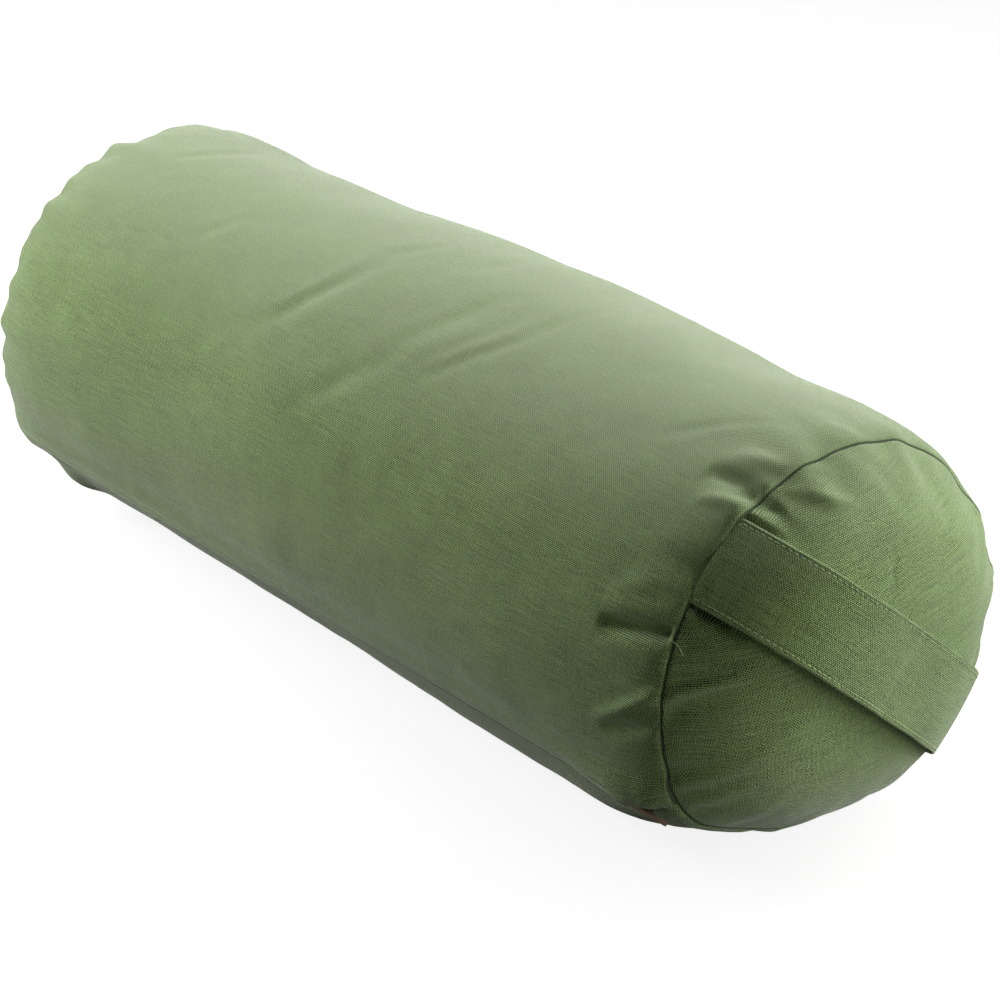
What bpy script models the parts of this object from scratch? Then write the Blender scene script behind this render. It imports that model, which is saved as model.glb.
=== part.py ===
"""Yoga bolster: a firm stuffed cylinder in a zipped canvas cover with a carry handle on one end.

Metres, +Z up. +X runs along the bolster's axis to the end with the handle, -Y is the side with the
zip, and the floor is z = 0. The origin is on the floor under the middle of the two end seams.
"""
from math import cos, hypot, pi, radians, sin, sqrt

import bmesh
import bpy
from mathutils import Vector

# Stuffed form
SEAM_X = 0.2882
HALF_WIDTH = 0.120
TOP_HEIGHT = 0.1203
BOTTOM_DEPTH = 0.0985
BOTTOM_SQUARENESS = 2.4
FLOOR_FLAT = 0.0012
SEAM_RADIUS = 0.105
SEAM_LIFT = 0.0035
SHOULDER_LENGTH = 0.134
DOME_HEIGHT = 0.0366
DOME_POWER = 4.0
WAIST_DEPTH = 0.0055
WAIST_X = -0.130
WAIST_REACH = 0.136
WAIST_FLOOR_ANGLE = radians(125)

# Cloth and the gaps that neighbouring pieces keep
CANVAS = 0.0007
CALICO = 0.0005
GAP = 0.0003
TUCK_GAP = 0.0003
ALLOWANCE = 0.008

# Zip line along the lower side of the body
ZIP_ANGLE = radians(-124)
ZIP_END_CLEARANCE = 0.0222
ZIP_FLAT_REACH = 0.010
ZIP_FURROW_REACH = 0.048
TAPE = 0.0005
TAPE_REACH = 0.016
TOOTH_PITCH = 0.004
TOOTH_HEAD = 0.0017
TOOTH_NECK = 0.0012
TOOTH_THICK = 0.0022
TOOTH_CROSS = 0.0007
ROW_INNER = 0.0028
ROW_OUTER = 0.0040
ROW_SPREAD = 0.0019
STOP_LENGTH = 0.0025

# Slider and pull tab
SLIDER_LENGTH = 0.013
SLIDER_PLATE = 0.0011
SLIDER_WALL = 0.0010
RUN_GAP = 0.0003
TAPE_SLOT = 0.0016
BAIL_WIDTH = 0.0016
BAIL_WIRE = 0.0012
BAIL_INSIDE = 0.00255
BAIL_BACK = 0.0036
BAIL_FRONT = 0.0060
PULL_THICK = 0.0012
PULL_WIDTH = 0.0064
PULL_LENGTH = 0.031
PULL_TIP_WIDTH = 0.0048
PULL_EYE_WIDTH = 0.0026
PULL_EYE_REACH = 0.0056
PULL_AXIS_AHEAD = 0.0015
PULL_AXIS_RISE = 0.00145

# Folded lap over the zip and the hem facing it
LAP_EDGE = 0.0042
LAP_CLEARANCE = 0.0006
LAP_LAYER_GAP = 0.0005
LAP_RISE_REACH = 0.012
LAP_BLEND_REACH = 0.027
HEM_EDGE = 0.0082
HEM_BLEND_REACH = 0.024
HEM_OVERLAP = 0.0015
TUCK_REACH = 0.016

# Carry handle
HANDLE_WIDTH = 0.045
HANDLE_THICK = 0.0014
HANDLE_TILT = radians(-39.7)
HANDLE_BOW = 0.0075
HANDLE_BOW_SKEW = 0.85
HANDLE_TUCK = 0.0024
HANDLE_REST_GAP = 0.0007

# Inner bag and filling
LINER_SEAM_CLEARANCE = 0.0092
LINER_GAP = 0.0020
LINER_END_ROUND = 0.0095
LINER_ZIP_DENT = 0.0050
LINER_DOME_GAP = 0.0030
FILL_GAP = 0.0010

# Facets
ARC_STEPS = 28
PANEL_STEPS = 36
BAY_STEPS = 4
DOME_RINGS = (0.97, 0.88, 0.74, 0.55, 0.32)
HANDLE_COLUMNS = 4

# Sizes that follow from the ones above
AXIS_Z = BOTTOM_DEPTH - FLOOR_FLAT
ZIP_HALF = SEAM_X - ZIP_END_CLEARANCE
LINER_SEAM_X = SEAM_X - LINER_SEAM_CLEARANCE
FLAP_DROP = CANVAS + TUCK_GAP
CHAIN_DEPTH = 2 * CANVAS + TUCK_GAP + GAP + TAPE / 2
SLIDER_TOP = TOOTH_THICK / 2 + RUN_GAP + SLIDER_PLATE - CHAIN_DEPTH
LAP_INNER = SLIDER_TOP + LAP_CLEARANCE + CANVAS / 2
LAP_OUTER = LAP_INNER + CANVAS + LAP_LAYER_GAP
CHANNEL_BACK = ROW_OUTER + RUN_GAP
CHANNEL_FRONT = ROW_OUTER + ROW_SPREAD + RUN_GAP
SLIDER_X = ZIP_HALF - STOP_LENGTH - 2 * RUN_GAP - SLIDER_LENGTH / 2
CHAIN_TOP_X = ZIP_HALF - STOP_LENGTH - RUN_GAP
CHAIN_BOTTOM_X = STOP_LENGTH + RUN_GAP - ZIP_HALF
FLANGE_INSET = 2 * CANVAS + TUCK_GAP + GAP + CANVAS / 2
SHOULDER_X = (ZIP_HALF + SEAM_X) / 2

CANVAS_GREEN = (0.165, 0.205, 0.115, 1.0)
TAPE_GREEN = (0.060, 0.085, 0.040, 1.0)
CALICO_WHITE = (0.720, 0.660, 0.540, 1.0)
KAPOK_CREAM = (0.800, 0.730, 0.580, 1.0)
OLD_BRASS = (0.180, 0.110, 0.050, 1.0)


def clear_scene():
    for thing in list(bpy.data.objects):
        bpy.data.objects.remove(thing)


def make_material(name, colour, roughness, metallic=0.0):
    material = bpy.data.materials.new(name)
    material.use_nodes = True
    shader = material.node_tree.nodes["Principled BSDF"]
    shader.inputs["Base Color"].default_value = colour
    shader.inputs["Roughness"].default_value = roughness
    shader.inputs["Metallic"].default_value = metallic
    return material


def add_object(name, bm, material, smooth=True, origin=(0, 0, 0)):
    """A named object from a bmesh in world coordinates, with its own origin, such as on its joint."""
    bmesh.ops.translate(bm, verts=bm.verts, vec=-Vector(origin))
    mesh = bpy.data.meshes.new(name)
    bm.to_mesh(mesh)
    bm.free()
    if smooth:
        mesh.shade_smooth()
        mesh.set_sharp_from_angle(angle=radians(40))
    mesh.materials.append(material)
    thing = bpy.data.objects.new(name, mesh)
    thing.location = origin
    bpy.context.collection.objects.link(thing)
    return thing


def thicken(thing, thickness):
    """Cloth modelled by its middle surface gets its thickness half to each side."""
    shell = thing.modifiers.new("Cloth thickness", 'SOLIDIFY')
    shell.thickness = thickness
    shell.offset = 0.0


# The stuffed form's surface

def section(phi):
    """Sideways and upward reach of the full section at an angle from the top toward +Y."""
    c, s = cos(phi), sin(phi)
    power = 2.0 if c >= 0 else BOTTOM_SQUARENESS
    reach = (abs(c) ** power + abs(s) ** power) ** (-1 / power)
    height = TOP_HEIGHT if c >= 0 else BOTTOM_DEPTH
    return reach * s * HALF_WIDTH, reach * c * height


def seam_nearness(x):
    """1 at an end seam, falling to 0 where the shoulder has reached the full section."""
    return max(0.0, 1 - (SEAM_X - abs(x)) / SHOULDER_LENGTH)


def fullness(x):
    """Share of the full section that the body keeps at a station on its shoulders."""
    return 1 - (1 - SEAM_RADIUS / HALF_WIDTH) * (1 - sqrt(1 - seam_nearness(x) ** 2))


def waist(x, phi):
    """Share lost where the filling has slumped: none on the side that lies on the floor."""
    away = min(1.0, abs(x - WAIST_X) / WAIST_REACH)
    below = max(0.0, abs((phi + pi) % (2 * pi) - pi) - WAIST_FLOOR_ANGLE) / (pi - WAIST_FLOOR_ANGLE)
    return WAIST_DEPTH / HALF_WIDTH * (cos(away * pi / 2) * cos(below * pi / 2)) ** 2


def lift(x):
    """The end seams sit a little above the middle section's centre."""
    return SEAM_LIFT * seam_nearness(x) ** 2


def zip_share(phi):
    """1 along the zip, where its stiff tape holds the cover straight, falling to 0 beside it."""
    turn = abs((phi - ZIP_ANGLE + pi) % (2 * pi) - pi)
    away = max(0.0, turn * HALF_WIDTH - ZIP_FLAT_REACH) / (ZIP_FURROW_REACH - ZIP_FLAT_REACH)
    return cos(min(1.0, away) * pi / 2) ** 2


def skin(x, phi, inset=0.0):
    """Point on the cushion's outer surface, or inward of it by inset."""
    straight_x = max(abs(x), ZIP_HALF)
    share = zip_share(phi)
    scale = (1 - share) * (fullness(x) - waist(x, phi)) + share * fullness(straight_x)
    rise = lift(x) + share * (lift(straight_x) - lift(x))
    side, up = section(phi)
    side, up = side * scale, up * scale + rise
    shrink = 1 - inset / hypot(side, up)
    return Vector((x, side * shrink, max(up * shrink + AXIS_Z, inset)))


def zip_frame():
    """The zip's direction across the body toward the floor, its outward direction, and the skin's
    length for each radian of the section's angle there."""
    step = 0.01
    across = skin(0, ZIP_ANGLE - step) - skin(0, ZIP_ANGLE + step)
    down = across.normalized()
    out = down.cross(Vector((1, 0, 0)))
    return down, out, across.length / (2 * step)


ZIP_DOWN, ZIP_OUT, ZIP_ARM = zip_frame()


def beside_zip(x, along, rise):
    """Point at a distance below the zip line on the skin, raised outward from the skin."""
    return skin(x, ZIP_ANGLE - along / ZIP_ARM) + rise * ZIP_OUT


def chain_point(x, along, rise):
    """Point from the chain's own straight middle line: below it on the body, and outward of it."""
    return skin(x, ZIP_ANGLE) + along * ZIP_DOWN + (rise - CHAIN_DEPTH) * ZIP_OUT


def body_stations(end_x):
    """Stations from the handle end to the far end, closer together on the shoulders."""
    bays = [ZIP_HALF * k / BAY_STEPS for k in range(BAY_STEPS + 1)]
    half = bays + [SHOULDER_X, end_x]
    return half[::-1] + [-x for x in half[1:]]


def arc_angles(first, last, steps):
    return [first + (last - first) * k / steps for k in range(steps + 1)]


# Surfaces from rows of points

def rows_to_bmesh(rows, closed):
    """Quads between rows of points of equal length; closed rows run round."""
    bm = bmesh.new()
    grid = [[bm.verts.new(point) for point in row] for row in rows]
    count = len(grid[0])
    spans = count if closed else count - 1
    for near, far in zip(grid, grid[1:]):
        for k in range(spans):
            j = (k + 1) % count
            bm.faces.new((near[k], near[j], far[j], far[k]))
    return bm, grid


def close_to_point(bm, row, point):
    tip = bm.verts.new(point)
    for k, vert in enumerate(row):
        bm.faces.new((row[(k + 1) % len(row)], vert, tip))


def face_outward(bm):
    bm.normal_update()
    bmesh.ops.recalc_face_normals(bm, faces=bm.faces)


def prism(outline, low, high, place):
    """A flat outline of (x, along) points, extruded from low to high and placed point by point."""
    bm = bmesh.new()
    base = [bm.verts.new((x, along, low)) for x, along in outline]
    face = bm.faces.new(base)
    extruded = bmesh.ops.extrude_face_region(bm, geom=[face])["geom"]
    raised = [item for item in extruded if isinstance(item, bmesh.types.BMVert)]
    bmesh.ops.translate(bm, verts=raised, vec=(0, 0, high - low))
    bmesh.ops.triangulate(bm, faces=[f for f in bm.faces if len(f.verts) > 4])
    for vert in bm.verts:
        vert.co = place(*vert.co)
    face_outward(bm)
    return bm


def unite(base, tools):
    """Boolean unions that weld solid tools onto a base; the tools stay hidden guides."""
    for tool in tools:
        tool.hide_render = True
        tool.display_type = 'WIRE'
        weld = base.modifiers.new("Weld " + tool.name, 'BOOLEAN')
        weld.operation = 'UNION'
        weld.solver = 'EXACT'
        weld.object = tool


def body_angles():
    """Angles of the facets round the body, from above the lap over the top to below the hem."""
    first = ZIP_ANGLE + LAP_BLEND_REACH / ZIP_ARM
    last = ZIP_ANGLE - HEM_BLEND_REACH / ZIP_ARM + 2 * pi
    return arc_angles(first, last, ARC_STEPS)


# Cover

def hem_edge(x):
    """The hem's distance below the zip line; at the end seams it runs up under the lap."""
    return HEM_EDGE if abs(x) <= SHOULDER_X else -(LAP_EDGE + HEM_OVERLAP)


def cover_section(x):
    """Middle line of the cover's cloth at a station, from the lap's tuck round to the hem's tuck."""
    tucked = -CANVAS / 2 - FLAP_DROP
    wall = CHANNEL_FRONT + SLIDER_WALL + CANVAS
    fold = (LAP_OUTER - LAP_INNER) / 2
    lap = [
        (-TUCK_REACH, tucked),
        (-wall - fold, tucked),
        (-wall, LAP_INNER),
        (-LAP_EDGE - fold, LAP_INNER),
        (-LAP_EDGE, LAP_INNER + fold),
        (-LAP_EDGE - fold, LAP_OUTER),
        (-LAP_RISE_REACH, LAP_OUTER),
        (-(LAP_RISE_REACH + LAP_BLEND_REACH) / 2, LAP_OUTER * 0.35),
    ]
    edge, hem_fold = hem_edge(x), FLAP_DROP / 2
    hem = [
        ((HEM_BLEND_REACH + edge) / 2, -CANVAS / 2),
        (edge + hem_fold, -CANVAS / 2),
        (edge, -CANVAS / 2 - hem_fold),
        (edge + hem_fold, tucked),
        ((edge + TUCK_REACH) / 2, tucked),
        (TUCK_REACH, tucked),
    ]
    round_body = [skin(x, phi, CANVAS / 2) for phi in body_angles()]
    lap_points = [beside_zip(x, along, rise) for along, rise in lap]
    hem_points = [beside_zip(x, along, rise) for along, rise in hem]
    return lap_points + round_body + hem_points


def make_cover_body(canvas):
    rows = [cover_section(x) for x in body_stations(SEAM_X - GAP / 2)]
    bm, _ = rows_to_bmesh(rows, closed=False)
    thicken(add_object("cover_body", bm, canvas), CANVAS)


def handle_axes():
    """Directions along and across the handle in the end panel's plane, and the panel's centre."""
    along = Vector((0, cos(HANDLE_TILT), sin(HANDLE_TILT)))
    across = Vector((0, -sin(HANDLE_TILT), cos(HANDLE_TILT)))
    top, bottom = skin(SEAM_X, 0), skin(SEAM_X, pi)
    return along, across, (top + bottom) / 2


HANDLE_ALONG, HANDLE_ACROSS, PANEL_CENTRE = handle_axes()


def handle_slot(point):
    """1 on the stretches of the near end seam where the handle's ends are sewn in, 0 elsewhere."""
    aside = abs((point - PANEL_CENTRE).dot(HANDLE_ACROSS))
    facet = 2 * pi * SEAM_RADIUS / PANEL_STEPS
    full = HANDLE_WIDTH / 2 + 1.5 * facet
    return min(1.0, max(0.0, (full + facet - aside) / facet))


def panel_x(share):
    """Middle surface of an end panel, by the share of the way from its centre to its seam."""
    return SEAM_X + GAP / 2 + CANVAS / 2 + DOME_HEIGHT * (1 - share ** DOME_POWER)


def end_panel_rows(side, slotted):
    """Rings of an end panel from its turned-in allowance over the seam to its crown."""
    angles = arc_angles(0, 2 * pi, PANEL_STEPS)[:-1]
    rim = [skin(SEAM_X, phi, CANVAS / 2) for phi in angles]
    slots = [handle_slot(point) if slotted else 0.0 for point in rim]
    slot_depth = HANDLE_THICK + GAP
    rows = []
    for reach in (ALLOWANCE, 0.0):
        row = []
        for phi, slot in zip(angles, slots):
            point = skin(SEAM_X, phi, FLANGE_INSET + slot * slot_depth)
            point.x = panel_x(1) + slot * slot_depth if reach == 0 else SEAM_X - reach
            row.append(point)
        rows.append(row)
    for share in (1.0,) + DOME_RINGS:
        row = []
        for point, slot in zip(rim, slots):
            flat = PANEL_CENTRE + (point - PANEL_CENTRE) * share
            flat.x = panel_x(share) + slot * slot_depth * (share == 1.0)
            row.append(flat)
        rows.append(row)
    for row in rows:
        for point in row:
            point.x *= side
    return rows


def make_cover_end(name, side, slotted, canvas):
    rows = end_panel_rows(side, slotted)
    bm, grid = rows_to_bmesh(rows, closed=True)
    crown = Vector((side * panel_x(0), 0, PANEL_CENTRE.z))
    close_to_point(bm, grid[-1], crown)
    face_outward(bm)
    thicken(add_object(name, bm, canvas), CANVAS)


# Carry handle

def inside_seam(point):
    """Whether a point lies within the end seam's outline."""
    side, up = point.y, point.z - AXIS_Z - lift(SEAM_X)
    power = 2.0 if up >= 0 else BOTTOM_SQUARENESS
    height = (TOP_HEIGHT if up >= 0 else BOTTOM_DEPTH) * SEAM_RADIUS / HALF_WIDTH
    return abs(side / SEAM_RADIUS) ** power + abs(up / height) ** power < 1


def seam_reach(aside, direction):
    """Distance along the handle from the panel's centre to the seam, at a distance to its side."""
    low, high = 0.0, 2 * HALF_WIDTH
    for _ in range(40):
        middle = (low + high) / 2
        point = PANEL_CENTRE + direction * middle * HANDLE_ALONG + aside * HANDLE_ACROSS
        if inside_seam(point):
            low = middle
        else:
            high = middle
    return low


def handle_shares():
    """Shares of the way to the seam where the handle has a row, on the panel's rings and between them."""
    rings = (1.0,) + DOME_RINGS + (0.0,)
    shares = [1.0]
    for outer, inner in zip(rings, rings[1:]):
        shares += [(outer + inner) / 2, inner]
    return [-share for share in shares] + shares[-2::-1]


def handle_profile(aside):
    """The handle's middle line at a distance to its side: (distance along, x) from seam to seam."""
    slot_x = SEAM_X + GAP / 2 + HANDLE_THICK / 2
    proud = CANVAS / 2 + HANDLE_REST_GAP + HANDLE_THICK / 2
    line = []
    for share in handle_shares():
        reach = seam_reach(aside, -1 if share < 0 else 1)
        slope = DOME_HEIGHT * DOME_POWER * abs(share) ** (DOME_POWER - 1) / reach
        steep = hypot(slope, 1)
        progress = (share + 1) / 2
        stand = proud + HANDLE_BOW * sin(pi * progress ** HANDLE_BOW_SKEW)
        outward = stand * slope / steep * (-1 if share < 0 else 1)
        slot = (HANDLE_THICK + GAP) * max(0.0, (abs(share) - DOME_RINGS[0]) / (1 - DOME_RINGS[0]))
        line.append((share * reach + outward, panel_x(abs(share)) + slot + stand / steep))
    tail_back = (HANDLE_TUCK - seam_reach(aside, -1), slot_x)
    tail_front = (seam_reach(aside, 1) - HANDLE_TUCK, slot_x)
    return [tail_back, (line[0][0], slot_x)] + line + [(line[-1][0], slot_x), tail_front]


def make_handle(canvas):
    rows = []
    for k in range(HANDLE_COLUMNS + 1):
        aside = HANDLE_WIDTH * (k / HANDLE_COLUMNS - 0.5)
        row = []
        for along, x in handle_profile(aside):
            point = PANEL_CENTRE + along * HANDLE_ALONG + aside * HANDLE_ACROSS
            point.x = x
            row.append(point)
        rows.append(row)
    bm, _ = rows_to_bmesh(rows, closed=False)
    thicken(add_object("carry_handle", bm, canvas), HANDLE_THICK)


# Zip

def row_shift(x):
    """How far each row stands off the middle line: joined behind the slider, spread in its mouth."""
    progress = min(1.0, max(0.0, (x - SLIDER_X + SLIDER_LENGTH / 4) / (SLIDER_LENGTH / 2)))
    return ROW_SPREAD * progress * progress * (3 - 2 * progress)


def spread_stations():
    """Stations between the joined chain behind the slider and the spread rows in its mouth."""
    return [SLIDER_X + SLIDER_LENGTH * k / 8 for k in range(-2, 3)]


def make_tape(name, side, cloth):
    """Woven tape beside a row of teeth: side is -1 above the chain and 1 below it. Past the zip's ends
    the two tapes come together."""
    bays = [x for x in body_stations(SHOULDER_X)[::-1] if abs(x) < ZIP_HALF]
    stations = [-SHOULDER_X, -ZIP_HALF] + bays + spread_stations() + [ZIP_HALF, SHOULDER_X]
    rows = []
    for x in stations:
        inner = ROW_OUTER + GAP + row_shift(x) if abs(x) <= ZIP_HALF else GAP
        reaches = (inner, (inner + TAPE_REACH) / 2, TAPE_REACH)
        rows.append([beside_zip(x, side * reach, -CHAIN_DEPTH) for reach in reaches])
    bm, _ = rows_to_bmesh(rows, closed=False)
    thicken(add_object(name, bm, cloth), TAPE)


def make_teeth(name, side, first_x, metal):
    """One row of teeth on its spine as a comb: each tooth has a narrow neck and a wide head."""
    inner_edge = [(CHAIN_BOTTOM_X, ROW_INNER)]
    x = first_x
    while x + TOOTH_PITCH < CHAIN_TOP_X:
        for half, reach in (
            (-TOOTH_NECK / 2, ROW_INNER),
            (-TOOTH_HEAD / 2, -TOOTH_CROSS),
            (TOOTH_HEAD / 2, -TOOTH_CROSS),
            (TOOTH_NECK / 2, ROW_INNER),
        ):
            inner_edge.append((x + half, reach))
        x += TOOTH_PITCH
    inner_edge.append((CHAIN_TOP_X, ROW_INNER))
    outer_xs = [CHAIN_BOTTOM_X] + spread_stations() + [CHAIN_TOP_X]
    straight = inner_edge + [(x, ROW_OUTER) for x in outer_xs[::-1]]
    outline = [(x, side * (along + row_shift(x))) for x, along in straight]
    bm = prism(outline, -TOOTH_THICK / 2, TOOTH_THICK / 2, chain_point)
    add_object(name, bm, metal, smooth=False)


def make_stops(metal):
    """A top stop crimped past the end of each row and one bottom stop across both rows."""
    for name, side in (("zip_top_stop_upper", -1), ("zip_top_stop_lower", 1)):
        low, high = ROW_SPREAD, ROW_OUTER + ROW_SPREAD
        outline = [(0, low), (STOP_LENGTH, low), (STOP_LENGTH, high), (0, high)]
        start = CHAIN_TOP_X + GAP

        def place(x, along, rise, side=side, start=start):
            return chain_point(start + x, side * along, rise)

        bm = prism(outline, -TOOTH_THICK / 2, TOOTH_THICK / 2, place)
        add_object(name, bm, metal, smooth=False)

    def place_bottom(x, along, rise):
        return chain_point(CHAIN_BOTTOM_X - GAP - x, along, rise)

    outline = [(0, -ROW_OUTER), (STOP_LENGTH, -ROW_OUTER), (STOP_LENGTH, ROW_OUTER), (0, ROW_OUTER)]
    bm = prism(outline, -TOOTH_THICK / 2, TOOTH_THICK / 2, place_bottom)
    add_object("zip_bottom_stop", bm, metal, smooth=False)


def slider_place(x, along, rise):
    return chain_point(SLIDER_X + x, along, rise)


def slider_outline(back, front):
    """Half of the slider's plan: narrow over the joined chain, wide over its mouth."""
    half = SLIDER_LENGTH / 2
    return [(-half, back), (-half / 2, back), (half / 6, front), (half, front)]


def make_slider(metal):
    """Two plates with side walls and a wedge between them, and a bail over the top plate."""
    inside = TOOTH_THICK / 2 + RUN_GAP
    outside = inside + SLIDER_PLATE
    wall = slider_outline(CHANNEL_BACK + SLIDER_WALL, CHANNEL_FRONT + SLIDER_WALL)
    channel = slider_outline(CHANNEL_BACK, CHANNEL_FRONT)
    plate = wall + [(x, -along) for x, along in wall[::-1]]
    bm = prism(plate, inside, outside, slider_place)
    top = add_object("zip_slider", bm, metal, smooth=False, origin=slider_place(0, 0, 0))
    tools = []

    def add_tool(name, outline, low, high):
        bm = prism(outline, low, high, slider_place)
        tools.append(add_object("slider_" + name, bm, metal, smooth=False))

    bite = SLIDER_PLATE / 2
    add_tool("bottom_plate", plate, -outside, -inside)
    for side in (-1, 1):
        edge = wall + channel[::-1]
        strip = [(x, side * along) for x, along in edge]
        add_tool("wall_top_%d" % side, strip, TAPE_SLOT / 2, inside + bite)
        add_tool("wall_bottom_%d" % side, strip, -inside - bite, -TAPE_SLOT / 2)
    half = SLIDER_LENGTH / 2
    wide = ROW_SPREAD - TOOTH_CROSS - RUN_GAP
    wedge = [(half * 0.45, 0), (half * 0.7, wide), (half * 0.95, wide), (half * 0.95, -wide), (half * 0.7, -wide)]
    add_tool("wedge", wedge, -inside - bite, inside + bite)
    tools.append(make_bail(outside, bite, metal))
    unite(top, tools)
    return top


def make_bail(plate_top, bite, metal):
    """Arch over the top plate that the pull tab's crossbar turns under."""
    low, ceiling = plate_top - bite, plate_top + BAIL_INSIDE
    outer = [(-BAIL_BACK, low), (-BAIL_BACK, ceiling), (-BAIL_BACK + BAIL_WIRE, ceiling + BAIL_WIRE)]
    outer += [(BAIL_FRONT - BAIL_WIRE, ceiling + BAIL_WIRE), (BAIL_FRONT, ceiling), (BAIL_FRONT, low)]
    inner = [(BAIL_FRONT - BAIL_WIRE, low), (BAIL_FRONT - BAIL_WIRE, ceiling)]
    inner += [(BAIL_WIRE - BAIL_BACK, ceiling), (BAIL_WIRE - BAIL_BACK, low)]

    def stand_up(x, rise, along):
        return slider_place(x, along, rise)

    bm = prism(outer + inner, -BAIL_WIDTH / 2, BAIL_WIDTH / 2, stand_up)
    return add_object("slider_bail", bm, metal, smooth=False)


def make_pull(slider, metal):
    """Flat pull tab with an eye whose crossbar lies under the bail, turning about the crossbar."""
    axis_rise = TOOTH_THICK / 2 + RUN_GAP + SLIDER_PLATE + PULL_AXIS_RISE
    axis = slider_place(PULL_AXIS_AHEAD, 0, axis_rise)
    back = PULL_THICK / 2
    tip = PULL_LENGTH - PULL_THICK
    outer = [(-back, -PULL_WIDTH / 2), (2 * PULL_EYE_REACH, -PULL_WIDTH / 2)]
    outer += [(tip - PULL_TIP_WIDTH / 3, -PULL_TIP_WIDTH / 2), (tip, -PULL_TIP_WIDTH / 4)]
    outline = outer + [(x, -along) for x, along in outer[::-1]]
    eye = [(back, -PULL_EYE_WIDTH / 2), (PULL_EYE_REACH, -PULL_EYE_WIDTH / 2)]
    eye += [(x, -along) for x, along in eye[::-1]]

    def place(x, along, rise):
        return axis + Vector((x, 0, 0)) + along * ZIP_DOWN + rise * ZIP_OUT

    bm = prism(outline, -PULL_THICK / 2, PULL_THICK / 2, place)
    pull = add_object("zip_pull_tab", bm, metal, smooth=False, origin=axis)
    pull.parent = slider
    pull.location = axis - slider.location
    cutter = add_object("pull_eye", prism(eye, -PULL_THICK, PULL_THICK, place), metal, smooth=False)
    cutter.hide_render = True
    cutter.display_type = 'WIRE'
    cut = pull.modifiers.new("Eye", 'BOOLEAN')
    cut.operation = 'DIFFERENCE'
    cut.solver = 'EXACT'
    cut.object = cutter


# Inner bag and filling

def liner_inset(x, phi):
    """How far inside the cover the inner bag lies: more behind the zip and at its rounded ends."""
    rounding = max(0.0, abs(x) - ZIP_HALF) / (LINER_SEAM_X - ZIP_HALF)
    return LINER_GAP + LINER_ZIP_DENT * zip_share(phi) + LINER_END_ROUND * rounding


def inner_rows(extra):
    """Rings of the inner bag, with the same facets round the body as the cover's."""
    behind_zip = [ZIP_ANGLE + TUCK_REACH * k / ZIP_ARM + 2 * pi for k in (-1, 0, 1)]
    angles = body_angles() + behind_zip
    return [[skin(x, phi, liner_inset(x, phi) + extra) for phi in angles] for x in body_stations(LINER_SEAM_X)]


def dome_rows(rim, side, start_x, crown_x, shares):
    """Rings of a domed end inside the cover's, shrunk about the panel's centre."""
    rows = []
    for share in shares:
        row = []
        for point in rim:
            flat = PANEL_CENTRE + (point - PANEL_CENTRE) * share
            flat.x = side * (start_x + (crown_x - start_x) * (1 - share ** DOME_POWER))
            row.append(flat)
        rows.append(row)
    return rows


def make_liner(calico):
    rows = inner_rows(CALICO / 2)
    bm, _ = rows_to_bmesh(rows, closed=True)
    thicken(add_object("liner_body", bm, calico), CALICO)
    start = LINER_SEAM_X + GAP + CALICO / 2
    crown = panel_x(0) - LINER_DOME_GAP
    for name, side, rim in (("liner_end_near", 1, rows[0]), ("liner_end_far", -1, rows[-1])):
        bm, grid = rows_to_bmesh(dome_rows(rim, side, start, crown, (1.0,) + DOME_RINGS), closed=True)
        close_to_point(bm, grid[-1], Vector((side * crown, 0, PANEL_CENTRE.z)))
        face_outward(bm)
        thicken(add_object(name, bm, calico), CALICO)


def make_fill(kapok):
    """The packed filling, one solid that keeps the inner bag's form."""
    rows = inner_rows(CALICO + FILL_GAP)
    start = LINER_SEAM_X - FILL_GAP
    crown = panel_x(0) - LINER_DOME_GAP - CALICO - FILL_GAP
    near = dome_rows(rows[0], 1, start, crown, DOME_RINGS)
    far = dome_rows(rows[-1], -1, start, crown, DOME_RINGS)
    rows[0] = [Vector((start, p.y, p.z)) for p in rows[0]]
    rows[-1] = [Vector((-start, p.y, p.z)) for p in rows[-1]]
    bm, grid = rows_to_bmesh(near[::-1] + rows + far, closed=True)
    close_to_point(bm, grid[0], Vector((crown, 0, PANEL_CENTRE.z)))
    close_to_point(bm, grid[-1], Vector((-crown, 0, PANEL_CENTRE.z)))
    face_outward(bm)
    add_object("fill_core", bm, kapok)


def main():
    clear_scene()
    canvas = make_material("Green cotton canvas", CANVAS_GREEN, 0.9)
    tape_cloth = make_material("Dark green zip tape", TAPE_GREEN, 0.8)
    calico = make_material("Natural calico", CALICO_WHITE, 0.9)
    kapok = make_material("Kapok fibre", KAPOK_CREAM, 1.0)
    brass = make_material("Antique brass", OLD_BRASS, 0.35, metallic=1.0)
    make_cover_body(canvas)
    make_cover_end("cover_end_near", 1, True, canvas)
    make_cover_end("cover_end_far", -1, False, canvas)
    make_handle(canvas)
    make_tape("zip_tape_upper", -1, tape_cloth)
    make_tape("zip_tape_lower", 1, tape_cloth)
    make_teeth("zip_teeth_upper", -1, CHAIN_BOTTOM_X + TOOTH_PITCH / 2, brass)
    make_teeth("zip_teeth_lower", 1, CHAIN_BOTTOM_X + TOOTH_PITCH, brass)
    make_stops(brass)
    slider = make_slider(brass)
    make_pull(slider, brass)
    make_liner(calico)
    make_fill(kapok)


main()
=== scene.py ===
"""Yoga bolster: the looks of its pieces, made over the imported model.

Metres, +Z up. +X runs along the bolster to the end with the handle, -Y is the side with the zip,
and the floor is z = 0. Angles round the body run from the top toward +Y.
"""
from math import cos, hypot, pi, radians, sin

import bmesh
import bpy
import numpy as np
from bpy.props import FloatProperty, FloatVectorProperty, IntProperty, PointerProperty
from mathutils import Matrix, Vector


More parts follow.
